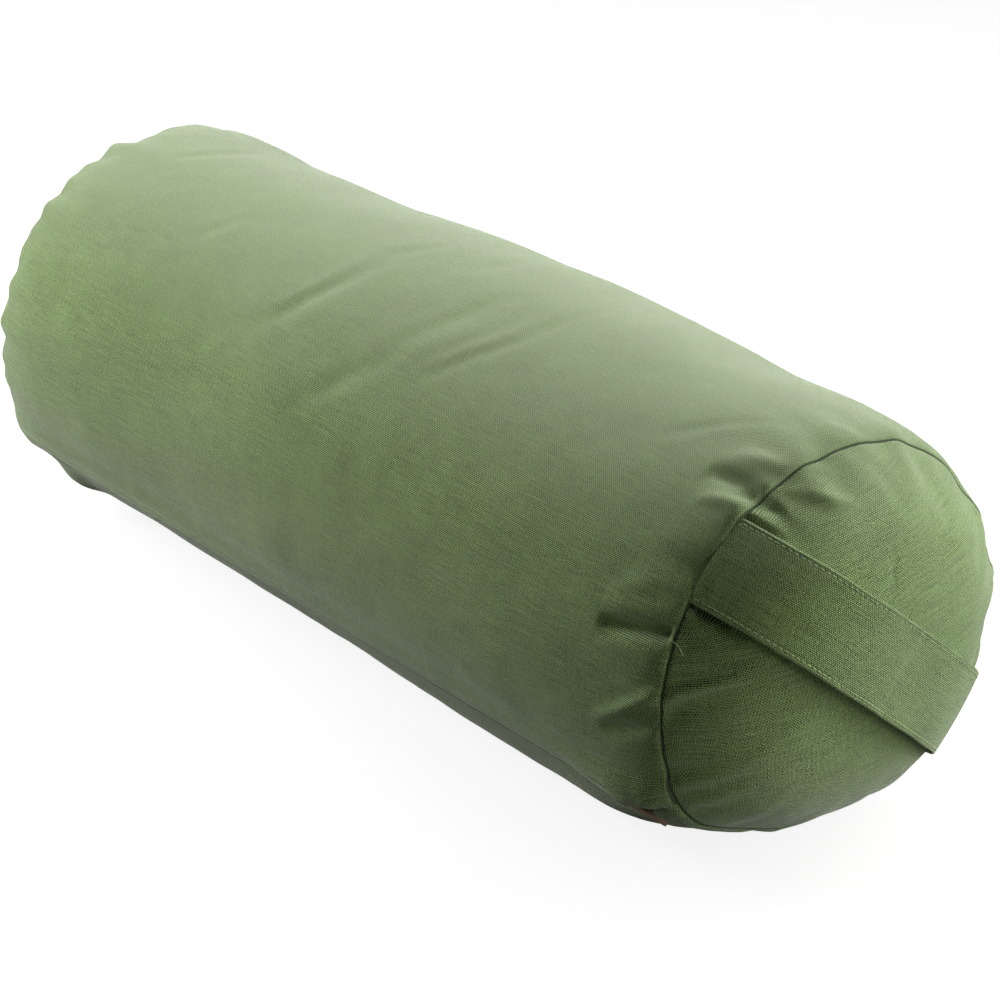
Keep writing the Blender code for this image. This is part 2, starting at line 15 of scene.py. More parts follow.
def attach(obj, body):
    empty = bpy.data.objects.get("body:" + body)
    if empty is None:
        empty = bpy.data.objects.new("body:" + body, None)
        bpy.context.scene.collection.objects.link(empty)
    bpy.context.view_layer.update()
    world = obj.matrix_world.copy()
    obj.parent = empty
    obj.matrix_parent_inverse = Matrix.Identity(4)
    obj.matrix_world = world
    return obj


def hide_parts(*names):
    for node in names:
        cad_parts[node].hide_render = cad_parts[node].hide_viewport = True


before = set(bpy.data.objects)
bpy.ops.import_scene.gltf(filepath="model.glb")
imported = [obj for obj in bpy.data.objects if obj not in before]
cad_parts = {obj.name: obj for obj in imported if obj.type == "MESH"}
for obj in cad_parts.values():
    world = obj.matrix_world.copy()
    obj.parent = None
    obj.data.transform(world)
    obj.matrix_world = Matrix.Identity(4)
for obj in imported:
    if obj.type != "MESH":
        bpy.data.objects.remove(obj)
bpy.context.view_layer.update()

bl_info = {
    "name": "Yoga bolster",
    "version": (1, 0, 0),
    "blender": (4, 5, 0),
    "location": "View3D > Sidebar > Bolster",
    "description": "Builds the cover, handle, zip and filling of a round yoga bolster",
    "category": "Mesh",
}

# Stuffed form, as in the part's source
SEAM_X = 0.2882
HALF_WIDTH = 0.120
TOP_HEIGHT = 0.1203
BOTTOM_DEPTH = 0.0985
BOTTOM_SQUARENESS = 2.4
FLOOR_FLAT = 0.0012
SEAM_RADIUS = 0.105
SEAM_LIFT = 0.0035
SHOULDER_LENGTH = 0.134
DOME_HEIGHT = 0.0366
DOME_POWER = 4.0
WAIST_DEPTH = 0.0055
WAIST_X = -0.130
WAIST_REACH = 0.136
WAIST_FLOOR_ANGLE = radians(125)

# Cloth, zip line and lap, as in the part's source
CANVAS = 0.0007
CALICO = 0.0005
GAP = 0.0003
TUCK_GAP = 0.0003
ZIP_ANGLE = radians(-124)
ZIP_END_CLEARANCE = 0.0222
ZIP_FLAT_REACH = 0.010
ZIP_FURROW_REACH = 0.048
TAPE = 0.0005
TOOTH_THICK = 0.0022
ROW_OUTER = 0.0040
ROW_SPREAD = 0.0019
SLIDER_PLATE = 0.0011
SLIDER_WALL = 0.0010
RUN_GAP = 0.0003
LAP_EDGE = 0.0042
LAP_CLEARANCE = 0.0006
LAP_LAYER_GAP = 0.0005
LAP_BLEND_REACH = 0.027
HEM_EDGE = 0.0082
HEM_BLEND_REACH = 0.024
TUCK_REACH = 0.016

# Handle, inner bag and filling, as in the part's source
HANDLE_TILT = radians(-39.7)
HANDLE_REST_GAP = 0.0007
LINER_GAP = 0.0020
LINER_END_ROUND = 0.0095
LINER_ZIP_DENT = 0.0050
LINER_DOME_GAP = 0.0030
LINER_SEAM_CLEARANCE = 0.0092
FILL_GAP = 0.0010

# Looks alone: the cloth's edges rolled into the end seams, their allowances turned inward, and the painted
# shade in the seams' groove
SEAM_ROLL = 0.0005
SEAM_ROLL_REACH = 0.0010
SEAM_ROLL_STEPS = (0.0, 0.0001, 0.0002, 0.0004, 0.0007, 0.0010)
# Painted shade along the end seams: full up to the first distance, gone by the second
SEAM_PAINTED_SHADE_FROM = 0.0001
SEAM_PAINTED_SHADE_REACH = 0.0003
BODY_ALLOWANCE = (0.0042, 0.0026, 0.0012)
PANEL_ALLOWANCE = ((0.0056, 0.0004), (0.0038, 0.0002), (0.0024, 0.0001), (0.0016, 0.0))
EVEN_ROWS_FROM = 0.0030
RINGS_FROM = 0.0020
RINGS_TO = 0.0980
RINGS_REACH = 0.100
CROWN_SHARE = 0.006

# Looks alone: how far the end seams' pinches pull the cloth
PINCH_REACH = 0.030
PINCH_SHARE = 0.72
PINCH_FADE = 1.5

# Looks alone: where relief, trims and pinches begin beside the zip, the seams and the floor, and over
# what distance they fade in
RELIEF_FROM_ZIP = (0.016, 0.022)
RELIEF_FROM_SEAM = (0.0, 0.0025)
RELIEF_FROM_FLOOR = (0.0004, 0.006)
TRIM_FROM_ZIP = (0.006, 0.016)
TRIM_FROM_SEAM = (0.0, 0.020)
PINCH_FROM_ZIP = (0.010, 0.018)
PANEL_FROM_SEAM = (0.0, 0.0035)

# Looks alone: the strap's dent in the panel, the inner bag's slack, the painted sheen on the top and the lap
# over the slider
STRAP_DENT = 0.0040
STRAP_DENT_HALF_WIDTH = 0.0265
STRAP_DENT_WALL = 0.004
STRAP_END_DEPTH = 0.0010
STRAP_STITCH_DIP = 0.00035
STRAP_STITCH_DIP_REACH = 0.0006
STRAP_EDGE_PUFF = 0.00010
STRAP_EDGE_PUFF_REACH = 0.0007
STRAP_WAVE = 0.00012
STRAP_WAVE_LENGTH = 0.041
STRAP_SINKS_FROM = (0.87, 0.13)
STRAP_DIVES_FROM = (0.985, 0.015)
INNER_SLACK = 0.0014
# Painted sheen: between these heights the canvas turns paler and less saturated toward its lit top
PAINTED_SHEEN_FROM = 0.155
PAINTED_SHEEN_TO = 0.205
PAINTED_SHEEN_COVER = 0.62
CANVAS_SHEEN = 0.8
LAP_PUFF = 0.62
SLIDER_PUFF = 0.42
SLIDER_AT = 0.2577
LAP_FALL_X = 0.276
LAP_STITCH = 0.0122
LAP_STITCH_DENT = 0.00045
LAP_STITCH_REACH = 0.0006
LAP_CORNER = 0.0010
LAP_FOLD_PUFF = 0.0003
LAP_FOLD_PUFF_FROM = 0.0050
LAP_BLEND_FROM = 0.0140
LAP_FULLER_FROM = (0.220, 0.024)
SLIDER_PUFF_REACH = 0.009
LAP_END_PRESS = 0.75
HEM_RUN_UP = 0.0015
STITCH_THICKNESS = 0.00062
STITCH_SPACING = 1.17
STITCH_SINK = 0.00018
THREAD_RADIUS = 0.00026
LOOSE_END_SEAM = 103.5
LOOSE_END_PROUD = 0.0004
SLIDER_BEVEL = 0.00022
TAB_BEVEL = 0.00030

# Simulation: the mesh, what is held, the cloth and the passes that find its slow part
SIM_COLUMNS = 168
SIM_ROWS = 128
SIM_RINGS = 24
SIM_FRAMES = 20
SIM_CACHE_END = 24
SIM_WELD = 0.00002
SEAM_HELD = 0.0016
SEAM_HELD_RADIUS = 0.083
ZIP_HELD = 0.020
FLOOR_HELD = 0.0008
CLOTH_VALUES = {
    "quality": 5,
    "mass": 0.25,
    "tension_stiffness": 25,
    "compression_stiffness": 8,
    "shear_stiffness": 6,
    "bending_stiffness": 0.15,
    "air_damping": 4,
    "use_pressure": True,
}
SLOW_PASSES = 60

# Lamps: name, place and size. All of them point at LAMP_TARGET.
LAMPS = (
    ("key", (0.0, 0.6, 1.0), (0.7, 0.7)),
    ("over", (0.30, 0.25, 0.60), (0.3, 0.3)),
    ("far_top", (-0.9, -0.1, 0.9), (0.6, 0.6)),
    ("far", (-0.8, -0.6, 0.5), (0.5, 0.5)),
    ("near", (0.5, 0.7, 0.6), (0.4, 0.4)),
    ("side", (0.8, 0.9, 0.25), (0.5, 0.4)),
    ("end", (1.3, 0.4, 0.3), (0.7, 0.5)),
)
LAMP_TARGET = (0.0, 0.0, 0.1)
FLOOR_HALF = 6.0

# Camera, from the fit to the photograph's outline
CAMERA_PLACE = (1.35863, -1.04103, 0.75948 + BOTTOM_DEPTH - FLOOR_FLAT)
CAMERA_RIGHT = (0.61872, 0.78561, 0.0)
CAMERA_UP = (-0.32556, 0.25640, 0.91009)
CAMERA_BACK = (0.71498, -0.56309, 0.41441)
CAMERA_LENS = 127.12

# Looks alone: a crease's ends, the swell of cloth beside it, and the filling's lumps. Lumps: height mm,
# size and seed. Gathers of a panel: height mm and how soon they fade from the seam.
CREASE_END_POWER = 0.8
SWELL_AT = 2.1
SWELL_WIDTH = 1.2
SWELL_SHARE = 0.22
BODY_LUMPS = ((0.35, 0.060, 5), (0.12, 0.022, 11))
PANEL_LUMPS = (0.30, 0.050, 17)
PANEL_GATHERS = 0.30
PANEL_GATHERS_POWER = 6

# Looks alone: the direction of the weave on the end panels, in degrees, and how it spreads to the rim
NEAR_WEAVE_TILT = 8
FAR_WEAVE_TILT = -5
PANEL_ARC_GROWTH = 0.10

# Sizes that follow from the ones above
AXIS_Z = BOTTOM_DEPTH - FLOOR_FLAT
ZIP_HALF = SEAM_X - ZIP_END_CLEARANCE
LINER_SEAM_X = SEAM_X - LINER_SEAM_CLEARANCE
TUCKED = -CANVAS / 2 - CANVAS - TUCK_GAP
CHAIN_DEPTH = 2 * CANVAS + TUCK_GAP + GAP + TAPE / 2
SLIDER_TOP = TOOTH_THICK / 2 + RUN_GAP + SLIDER_PLATE - CHAIN_DEPTH
LAP_INNER = SLIDER_TOP + LAP_CLEARANCE + CANVAS / 2
LAP_OUTER = LAP_INNER + CANVAS + LAP_LAYER_GAP
LAP_WALL = ROW_OUTER + ROW_SPREAD + RUN_GAP + SLIDER_WALL + CANVAS
MEAN_RADIUS = 0.112

# Creases of the stuffed cloth: a path of (x mm, angle in degrees) points, half-width mm, depth mm and
# the share of the depth kept at the path's two ends. A depth below zero is a ridge.
BODY_CREASES = (
    (((-155, -34), (-143, -24), (-135, -16)), 2.5, 0.85, 0.0, 0.0),
    (((-80, -52), (-46, -38), (-26, -24), (-16, -5)), 4.7, 1.16, 0.0, 0.0),
    (((-95, -62), (-62, -44), (-40, -28), (-33, -12)), 3.9, -0.54, 0.0, 0.0),
    (((-15, -66), (25, -47), (56, -33)), 5.5, 0.85, 0.0, 0.0),
    (((-52, -39), (-35, -28), (-28, -15)), 3.1, 0.54, 0.0, 0.0),
    (((-228, -12), (-215, 0), (-211, 14)), 3.1, 0.93, 0.0, 0.0),
    (((35, -38), (56, -21), (70, -4)), 3.9, 0.85, 0.0, 0.0),
    (((42, -44), (68, -26), (84, -8)), 3.9, -0.46, 0.0, 0.0),
    (((60, -45), (69, -41), (103, -19), (113, 8)), 2.8, 0.93, 0.0, 0.0),
    (((66, -38), (92, -22), (103, -2)), 2.8, -0.62, 0.0, 0.0),
    (((-30, -13), (-14, -3), (-8, 7)), 3.1, 0.70, 0.0, 0.0),
    (((23, -7), (33, 5), (29, 19)), 3.5, 0.78, 0.0, 0.0),
    (((218, -28), (235, -19), (248, -12), (268, -3)), 3.0, 0.45, 0.0, 0.3),
    (((248, -71), (259, -70.2), (272, -69), (288, -67.8)), 4.4, 6.20, 0.0, 1.0),
    (((256, -71.5), (268, -70.3), (288, -69)), 1.8, 1.80, 0.0, 1.0),
    (((250, -77), (266, -75.5), (284, -74.5)), 4.5, 0.50, 0.0, 0.4),
    (((248, -63), (262, -60), (276, -58.5)), 5.0, -1.00, 0.0, 0.2),
    (((258, -28.5), (268, -27.3), (279, -26.2), (288, -27.5)), 4.6, 3.20, 0.0, 0.9),
    (((264, -35.5), (276, -33.5), (288, -31)), 3.0, -1.30, 0.0, 1.0),
    (((262, -20.5), (276, -18.5), (288, -16.5)), 4.4, -1.60, 0.0, 0.6),
    (((252, -95), (268, -90), (279, -86), (288, -82.5)), 2.6, -1.60, 0.0, 1.0),
    (((256, -98.5), (272, -95.5), (280, -93.5), (288, -90.5)), 4.5, 2.40, 0.0, 0.8),
    (((272, 3), (281, 5.5), (288, 8)), 2.2, -0.55, 0.0, 0.8),
    (((250, 52), (270, 58), (288, 62)), 5.0, 1.80, 0.0, 1.0),
    (((248, 80), (270, 78), (288, 76)), 5.5, -1.30, 0.0, 1.0),
    (((236, 112), (262, 104), (288, 100)), 5.0, 1.20, 0.0, 0.8),
    (((120, 36), (150, 52), (160, 70)), 4.7, 0.85, 0.0, 0.0),
    (((20, 48), (44, 66), (52, 84)), 5.1, 0.78, 0.0, 0.0),
    (((-90, 40), (-72, 62), (-66, 80)), 4.7, 0.93, 0.0, 0.0),
    (((-180, 46), (-160, 60), (-150, 76)), 3.9, 0.78, 0.0, 0.0),
)

# Creases of the near end panel: a path of (y mm, z mm from its centre) points, and the rest as above.
NEAR_CREASES = (
    (((-105, 2), (-97, 6), (-90, 9), (-82, 11), (-70, 13)), 2.0, -1.40, 1.0, 0.0),
    (((-104, -7), (-92, 0), (-78, 3)), 4.0, 1.10, 1.0, 0.0),
    (((-103, 12), (-90, 17), (-76, 20)), 4.0, 0.30, 1.0, 0.0),
    (((-94, 43), (-88, 40), (-82, 35), (-74, 30)), 5.0, 4.20, 1.0, 0.0),
    (((-90, 45), (-83, 41), (-76, 35)), 2.2, 1.80, 1.0, 0.0),
    (((-50, 86), (-46, 82), (-41, 79)), 2.6, 1.90, 1.0, 0.0),
    (((-37, 88), (-26, 84.5), (-18, 81), (-6, 78)), 2.4, -1.20, 0.8, 0.0),
    (((-28, 94), (-20, 91), (-12, 88)), 2.4, 0.90, 0.8, 0.0),
    (((-97, -44), (-86, -36), (-75, -32), (-60, -26)), 4.5, -0.55, 1.0, 0.0),
    (((-99, -52), (-84, -45), (-66, -36)), 4.0, 0.60, 1.0, 0.0),
    (((-96, -60), (-88, -55), (-76, -50)), 4.0, -0.50, 1.0, 0.0),
    (((-90, -66), (-78, -57), (-62, -46)), 4.5, 0.55, 1.0, 0.0),
    (((-74, -80), (-62, -68), (-48, -54)), 5.0, -0.50, 1.0, 0.0),
    (((6, 96), (14, 84), (20, 66)), 3.5, 0.50, 1.0, 0.0),
    (((38, 88), (46, 70), (50, 52)), 5.0, 0.60, 1.0, 0.0),
    (((92, 44), (80, 34), (66, 28)), 5.0, 1.50, 1.0, 0.0),
    (((100, 8), (84, 2), (70, 0)), 5.0, -0.90, 1.0, 0.0),
    (((96, -34), (82, -30), (66, -22)), 5.0, 0.90, 1.0, 0.0),
    (((20, -92), (18, -78), (12, -60)), 5.0, 0.60, 1.0, 0.0),
)

# The loose end of sewing thread at the near seam: y mm and z mm from the panel's centre, and mm proud of it.
LOOSE_END = (
    (-100.6, 29.4, 0.0),
    (-99.3, 28.2, 1.3),
    (-98.6, 26.4, 1.9),
    (-98.3, 24.4, 1.8),
    (-97.7, 22.6, 1.2),
)

# Local fullness of the stuffed body: x mm, angle in degrees, reach in x mm and in degrees, outward mm.
BODY_TRIMS = (
    (-210, 30, 38, 34, -3.7),
    (-62, 28, 55, 36, 1.1),
    (56, 30, 40, 36, 1.6),
    (195, 31, 41, 36, -3.6),
    (-268, -126, 12, 14, -2.4),
    (-252, -138, 13, 16, 4.6),
    (-190, -142, 40, 20, -1.6),
    (-10, -142, 54, 22, -2.3),
    (145, -143, 50, 22, 1.2),
    (222, -141, 32, 20, 3.0),
    (272, -148, 16, 20, -2.0),
)

# Local fullness of the near end panel: y mm and z mm from its centre, reach in mm, outward mm.
NEAR_TRIMS = (
    (92, -22, 26, -3.0),
    (78, -47, 26, -2.8),
    (58, -66, 26, -2.0),
    (36, -82, 22, 0.4),
    (-66, -6, 26, -2.0),
)

# Pinches of the near end seam: angle in degrees, half-width in degrees, inward mm and along +X mm.
NEAR_PINCHES = (
    (-150, 13.0, 3.4, 0.0),
    (-109, 5.0, 1.6, 0.0),
    (-100, 5.0, 0.8, -0.4),
    (-84, 3.0, -1.0, 0.5),
    (-67, 3.5, 1.4, -1.0),
    (-51, 6.0, 2.6, 0.0),
    (-34, 3.0, -1.7, 0.4),
    (-28, 3.5, 2.0, -0.8),
    (-20, 4.5, 1.2, -0.6),
    (-12, 4.0, -0.8, 0.3),
    (-7, 4.0, 1.2, 0.0),
    (7, 3.5, -0.6, 0.4),
    (20, 4.0, -1.7, 0.2),
    (52, 6.5, 2.4, -0.3),
    (64, 4.0, -0.8, 0.4),
    (72, 4.0, 2.4, -0.6),
    (84, 3.0, -2.6, 0.8),
    (91, 3.5, 1.8, -0.6),
    (102, 5.0, 2.6, -0.6),
    (132, 6.0, 1.8, 0.0),
    (164, 10.0, -1.2, 0.0),
)

# Pinches of the far end seam, deep enough to show as notches in the outline.
FAR_PINCHES = (
    (-148, 6.0, -2.4, 0.0),
    (-121, 6.5, 4.6, 0.4),
    (-112, 5.0, 1.6, -0.6),
    (-98, 4.0, 1.6, 0.0),
    (-86, 3.5, 3.2, 0.6),
    (-74, 3.5, 1.7, -0.5),
    (-64, 4.0, 4.8, 0.5),
    (-54, 3.0, 1.2, 0.0),
    (-47, 3.5, 1.6, -0.5),
    (-37, 3.5, 2.8, 0.4),
    (-29, 3.0, 2.0, 0.6),
    (-21, 4.0, 2.6, -0.4),
    (-9, 3.5, 3.4, 0.8),
    (-2, 5.0, 4.6, 0.2),
    (20, 4.0, 1.6, -0.6),
    (46, 5.0, 3.0, 0.6),
    (70, 4.0, 1.4, -0.5),
    (96, 5.0, 1.8, 0.5),
    (128, 5.0, 1.4, 0.5),
)


# The stuffed form's surface, for whole arrays of points at once

def section(phi):
    """Sideways and upward reach of the full section at an angle from the top toward +Y."""
    c, s = np.cos(phi), np.sin(phi)
    power = np.where(c >= 0, 2.0, BOTTOM_SQUARENESS)
    reach = (np.abs(c) ** power + np.abs(s) ** power) ** (-1 / power)
    height = np.where(c >= 0, TOP_HEIGHT, BOTTOM_DEPTH)
    return reach * s * HALF_WIDTH, reach * c * height


def seam_nearness(x):
    return np.clip(1 - (SEAM_X - np.abs(x)) / SHOULDER_LENGTH, 0, 1)


def fullness(x):
    return 1 - (1 - SEAM_RADIUS / HALF_WIDTH) * (1 - np.sqrt(1 - seam_nearness(x) ** 2))


def turned(phi):
    """The same angle between half a turn each way."""
    return (phi + pi) % (2 * pi) - pi


def waist(x, phi):
    away = np.clip(np.abs(x - WAIST_X) / WAIST_REACH, 0, 1)
    below = np.clip((np.abs(turned(phi)) - WAIST_FLOOR_ANGLE) / (pi - WAIST_FLOOR_ANGLE), 0, 1)
    return WAIST_DEPTH / HALF_WIDTH * (np.cos(away * pi / 2) * np.cos(below * pi / 2)) ** 2


def lift(x):
    return SEAM_LIFT * seam_nearness(x) ** 2


def zip_share(phi):
    away = np.abs(turned(phi - ZIP_ANGLE)) * HALF_WIDTH - ZIP_FLAT_REACH
    away = np.clip(away / (ZIP_FURROW_REACH - ZIP_FLAT_REACH), 0, 1)
    return np.cos(away * pi / 2) ** 2


def unit(vectors):
    return vectors / np.linalg.norm(vectors, axis=-1, keepdims=True)


def skin(x, phi, inset=0.0):
    """Points on the cushion's outer surface, or inward of it by inset."""
    x, phi = np.broadcast_arrays(np.asarray(x, float), np.asarray(phi, float))
    straight_x = np.maximum(np.abs(x), ZIP_HALF)
    share = zip_share(phi)
    scale = (1 - share) * (fullness(x) - waist(x, phi)) + share * fullness(straight_x)
    rise = lift(x) + share * (lift(straight_x) - lift(x))
    side, up = section(phi)
    side, up = side * scale, up * scale + rise
    shrink = 1 - inset / np.hypot(side, up)
    return np.stack([x, side * shrink, np.maximum(up * shrink + AXIS_Z, inset)], axis=-1)


def surface_normal(x, phi):
    """Outward direction of the body's surface."""
    step = 1e-4
    along = skin(np.minimum(x + step, SEAM_X), phi) - skin(np.maximum(x - step, -SEAM_X), phi)
    around = skin(x, phi + step * 8) - skin(x, phi - step * 8)
    return unit(np.cross(along, around))


def zip_frame():
    """The outward direction at the zip and the skin's length per radian there."""
    step = 0.01
    across = skin(0.0, ZIP_ANGLE - step) - skin(0.0, ZIP_ANGLE + step)
    reach = float(np.linalg.norm(across))
    return np.cross(across / reach, (1.0, 0.0, 0.0)), reach / (2 * step)


ZIP_OUT, ZIP_ARM = zip_frame()
PANEL_CENTRE = (skin(SEAM_X, 0.0) + skin(SEAM_X, pi)) / 2
HANDLE_ALONG = np.array((0, cos(HANDLE_TILT), sin(HANDLE_TILT)))
HANDLE_ACROSS = np.array((0, -sin(HANDLE_TILT), cos(HANDLE_TILT)))


def panel_x(share):
    """Middle surface of an end panel, by the share of the way from its centre to its seam."""
    return SEAM_X + GAP / 2 + CANVAS / 2 + DOME_HEIGHT * (1 - share ** DOME_POWER)


def smooth_step(t):
    t = np.clip(t, 0, 1)
    return t * t * (3 - 2 * t)


def fade_in(distance, start, reach):
    return smooth_step((distance - start) / reach)


# Relief of the cloth: creases, pinches along the end seams and the filling's lumps

def crease_depth(points, path, half_width, depth, first, last):
    """Depth at points (an array of flat positions) of a crease along a path of flat positions."""
    path = np.asarray(path, float)
    runs = np.linalg.norm(np.diff(path, axis=0), axis=1)
    starts = running_total(runs)
    best = np.full(len(points), 1e9)
    where = np.zeros(len(points))
    for k, run in enumerate(runs):
        heading = (path[k + 1] - path[k]) / run
        ahead = (points - path[k]) @ heading
        held = np.clip(ahead, 0, run)
        distance = np.linalg.norm(points - path[k] - held[:, None] * heading, axis=1)
        nearer = distance < best
        best = np.where(nearer, distance, best)
        where = np.where(nearer, (starts[k] + held) / starts[-1], where)
    taper = np.maximum(np.sin(pi * where) ** CREASE_END_POWER, np.where(where < 0.5, first, last))
    valley = np.exp(-(best / half_width) ** 2)
    swell = np.exp(-((best - SWELL_AT * half_width) / (SWELL_WIDTH * half_width)) ** 2)
    return depth * taper * (valley - SWELL_SHARE * swell)


def lumps(points, scale, seed):
    """Soft unevenness between -1 and 1 from a few crossed waves."""
    rng = np.random.default_rng(seed)
    total = np.zeros(len(points))
    for _ in range(9):
        heading = rng.normal(size=3)
        heading *= rng.uniform(0.6, 1.5) / scale / np.linalg.norm(heading)
        total += np.sin(points @ heading * 2 * pi + rng.uniform(0, 2 * pi))
    return total / 4.5


def body_relief(x, phi, depth_scale):
    """Outward relief of the body's cloth in metres."""
    flat = np.stack([x * 1000, turned(phi) * MEAN_RADIUS * 1000], axis=1)
    relief = np.zeros(len(x))
    for path, half_width, depth, first, last in BODY_CREASES:
        path = [(px, radians(angle) * MEAN_RADIUS * 1000) for px, angle in path]
        relief -= crease_depth(flat, path, half_width, depth, first, last)
    points = skin(x, phi)
    relief += sum(height * lumps(points, size, seed) for height, size, seed in BODY_LUMPS)
    relief += shoulder_gathers(x, phi)
    away = np.abs(turned(phi - ZIP_ANGLE)) * ZIP_ARM
    from_seam = SEAM_X - np.abs(x)
    free = fade_in(away, *RELIEF_FROM_ZIP)
    seam = fade_in(from_seam, *RELIEF_FROM_SEAM)
    floor = fade_in(points[:, 2], *RELIEF_FROM_FLOOR)
    trim = body_trim(x, phi) * fade_in(away, *TRIM_FROM_ZIP) * fade_in(from_seam, *TRIM_FROM_SEAM)
    return (relief * free * seam * depth_scale + trim) * floor / 1000


def body_trim(x, phi):
    """Local fullness of the body in mm."""
    total = np.zeros(len(x))
    for at_x, angle, reach_x, reach_angle, outward in BODY_TRIMS:
        along = (x * 1000 - at_x) / reach_x
        around = np.degrees(turned(phi - radians(angle))) / reach_angle
        total += outward * np.exp(-along ** 2 - around ** 2)
    return total


def panel_trim(at):
    """Local fullness of the near end panel in metres, for flat positions in mm from its centre."""
    total = np.zeros(len(at))
    for y, z, reach, outward in NEAR_TRIMS:
        total += outward * np.exp(-((at[:, 0] - y) ** 2 + (at[:, 1] - z) ** 2) / reach ** 2)
    return total / 1000


def seam_roll(distance):
    """How far the cloth has rolled inward at a distance from an end seam."""
    u = np.clip(1 - np.asarray(distance) / SEAM_ROLL_REACH, 0, 1)
    return SEAM_ROLL * (1 - np.sqrt(1 - u * u))


def shoulder_gathers(x, phi):
    """Fine gathers where the body's cloth is eased onto the end seams, in mm."""
    near = seam_nearness(x)
    fade = np.where(x > 0, 0.45, 0.85) * near ** 5
    side = np.where(x > 0, 0.0, 1.9)
    wave = np.sin(23 * phi + side + 1.3 * np.sin(3 * phi)) + 0.6 * np.sin(37 * phi + 2.2 * side)
    return fade * wave


def seam_shift(side, phi):
    """Shift of an end seam by its pinches: inward and along the axis, as arrays in metres."""
    inward = np.zeros(len(phi))
    ahead = np.zeros(len(phi))
    for angle, half_width, deep, along in NEAR_PINCHES if side > 0 else FAR_PINCHES:
        near = np.exp(-(np.degrees(turned(phi - radians(angle))) / half_width) ** 2)
        inward += deep * near / 1000
        ahead += along * near / 1000
    away = np.abs(turned(phi - ZIP_ANGLE)) * SEAM_RADIUS
    free = fade_in(away, *PINCH_FROM_ZIP)
    return inward * free, ahead * free


def body_pull(side, x):
    """How strongly an end seam's pinches pull the body's cloth."""
    return smooth_step((side * x - SEAM_X + PINCH_REACH) / PINCH_REACH) ** PINCH_FADE


def panel_pull(share):
    """How strongly they pull the panel's cloth, by the share of the way from its centre to its seam."""
    return smooth_step((share - PINCH_SHARE) / (1 - PINCH_SHARE)) ** PINCH_FADE


def pinch_vectors(side, phi, strength):
    """The seam's shift as vectors in the row frame, weakened by an array of strengths."""
    inward, ahead = seam_shift(side, phi)
    rim = skin(SEAM_X, phi)
    radial = rim - PANEL_CENTRE
    radial[:, 0] = 0
    shift = -unit(radial) * inward[:, None]
    shift[:, 0] += ahead * side
    return shift * strength[:, None]


def body_points(x, phi, inset, rise, stuffing, depth_scale):
    """Where the body's cloth lies: the form, what the simulation moved, pinches and relief."""
    points = skin(x, phi, inset) + rise[:, None] * ZIP_OUT
    points += surface_normal(x, phi) * body_relief(x, phi, depth_scale)[:, None]
    for side in (1, -1):
        points += pinch_vectors(side, phi, body_pull(side, x))
    points += stuffing.body(x, phi)
    points[:, 2] = np.maximum(points[:, 2], CANVAS / 2)
    return points


def panel_points(side, share, phi, stuffing, depth_scale):
    """Where an end panel's cloth lies, by the share of the way to its seam and the angle."""
    rim = skin(SEAM_X, phi, CANVAS / 2)
    flat = PANEL_CENTRE + (rim - PANEL_CENTRE) * share[:, None]
    flat[:, 0] = panel_x(share)
    radius = np.linalg.norm(rim - PANEL_CENTRE, axis=1)
    slope = DOME_HEIGHT * DOME_POWER * share ** (DOME_POWER - 1) / radius
    radial = (rim - PANEL_CENTRE) / radius[:, None]
    radial[:, 0] = 0
    normal = unit(radial * slope[:, None] + np.array((1.0, 0, 0)))
    at = (flat - PANEL_CENTRE)[:, 1:] * 1000
    height, size, seed = PANEL_LUMPS
    relief = height * lumps(flat + side, size, seed)
    if side > 0:
        for path, half_width, depth, first, last in NEAR_CREASES:
            relief -= crease_depth(at, path, half_width, depth, first, last)
    gathers = np.sin(21 * phi + 0.8 * np.sin(2 * phi)) + 0.5 * np.sin(34 * phi + 1.1)
    relief += PANEL_GATHERS * gathers * share ** PANEL_GATHERS_POWER
    edge = fade_in((1 - share) * SEAM_RADIUS, *PANEL_FROM_SEAM)
    flat += normal * (relief * edge * depth_scale / 1000)[:, None]
    if side > 0:
        aside = np.abs((flat - PANEL_CENTRE) @ HANDLE_ACROSS)
        under = fade_in(STRAP_DENT_HALF_WIDTH - aside, 0.0, STRAP_DENT_WALL) * fade_in(share, 0.84, 0.13)
        flat += normal * (panel_trim(at) * edge - STRAP_DENT * under)[:, None]
    flat -= radial * seam_roll((1 - share) * radius)[:, None]
    flat += pinch_vectors(side, phi, panel_pull(share)) * (side, 1, 1)
    flat += stuffing.panel(side, share, phi)
    flat[:, 0] *= side
    return flat


# Cloth simulation of the stuffed cover

class Stuffing:
    """How far the cloth simulation moved the cover from its plain form, on regular grids."""

    def __init__(self):
        self.tube = np.zeros((2, 4, 3))
        self.panels = {1: np.zeros((2, 4, 3)), -1: np.zeros((2, 4, 3))}

    def body(self, x, phi):
        rows = (x / SEAM_X + 1) / 2 * (len(self.tube) - 1)
        return sample(self.tube, rows, phi / (2 * pi) * self.tube.shape[1])

    def panel(self, side, share, phi):
        field = self.panels[side]
        return sample(field, share * (len(field) - 1), phi / (2 * pi) * field.shape[1])


def sample(field, rows, columns):
    """Smooth values of a grid of vectors that runs round along its columns."""
    rows = np.clip(rows, 0, len(field) - 1)
    row, column = np.floor(rows).astype(int), np.floor(columns).astype(int)
    total = np.zeros((len(rows), 3))
    for i, row_weight in enumerate(cubic_weights(rows - row)):
        for j, column_weight in enumerate(cubic_weights(columns - column)):
            at = field[np.clip(row + i - 1, 0, len(field) - 1), (column + j - 1) % field.shape[1]]
            total += at * (row_weight * column_weight)[:, None]
    return total


def cubic_weights(t):
    """Weights of four neighbours for a smooth curve through grid values."""
    return (
        ((-0.5 * t + 1.0) * t - 0.5) * t,
        (1.5 * t - 2.5) * t * t + 1,
        ((-1.5 * t + 2.0) * t + 0.5) * t,
        (0.5 * t - 0.5) * t * t,
    )


# Meshes from grids that bmesh makes

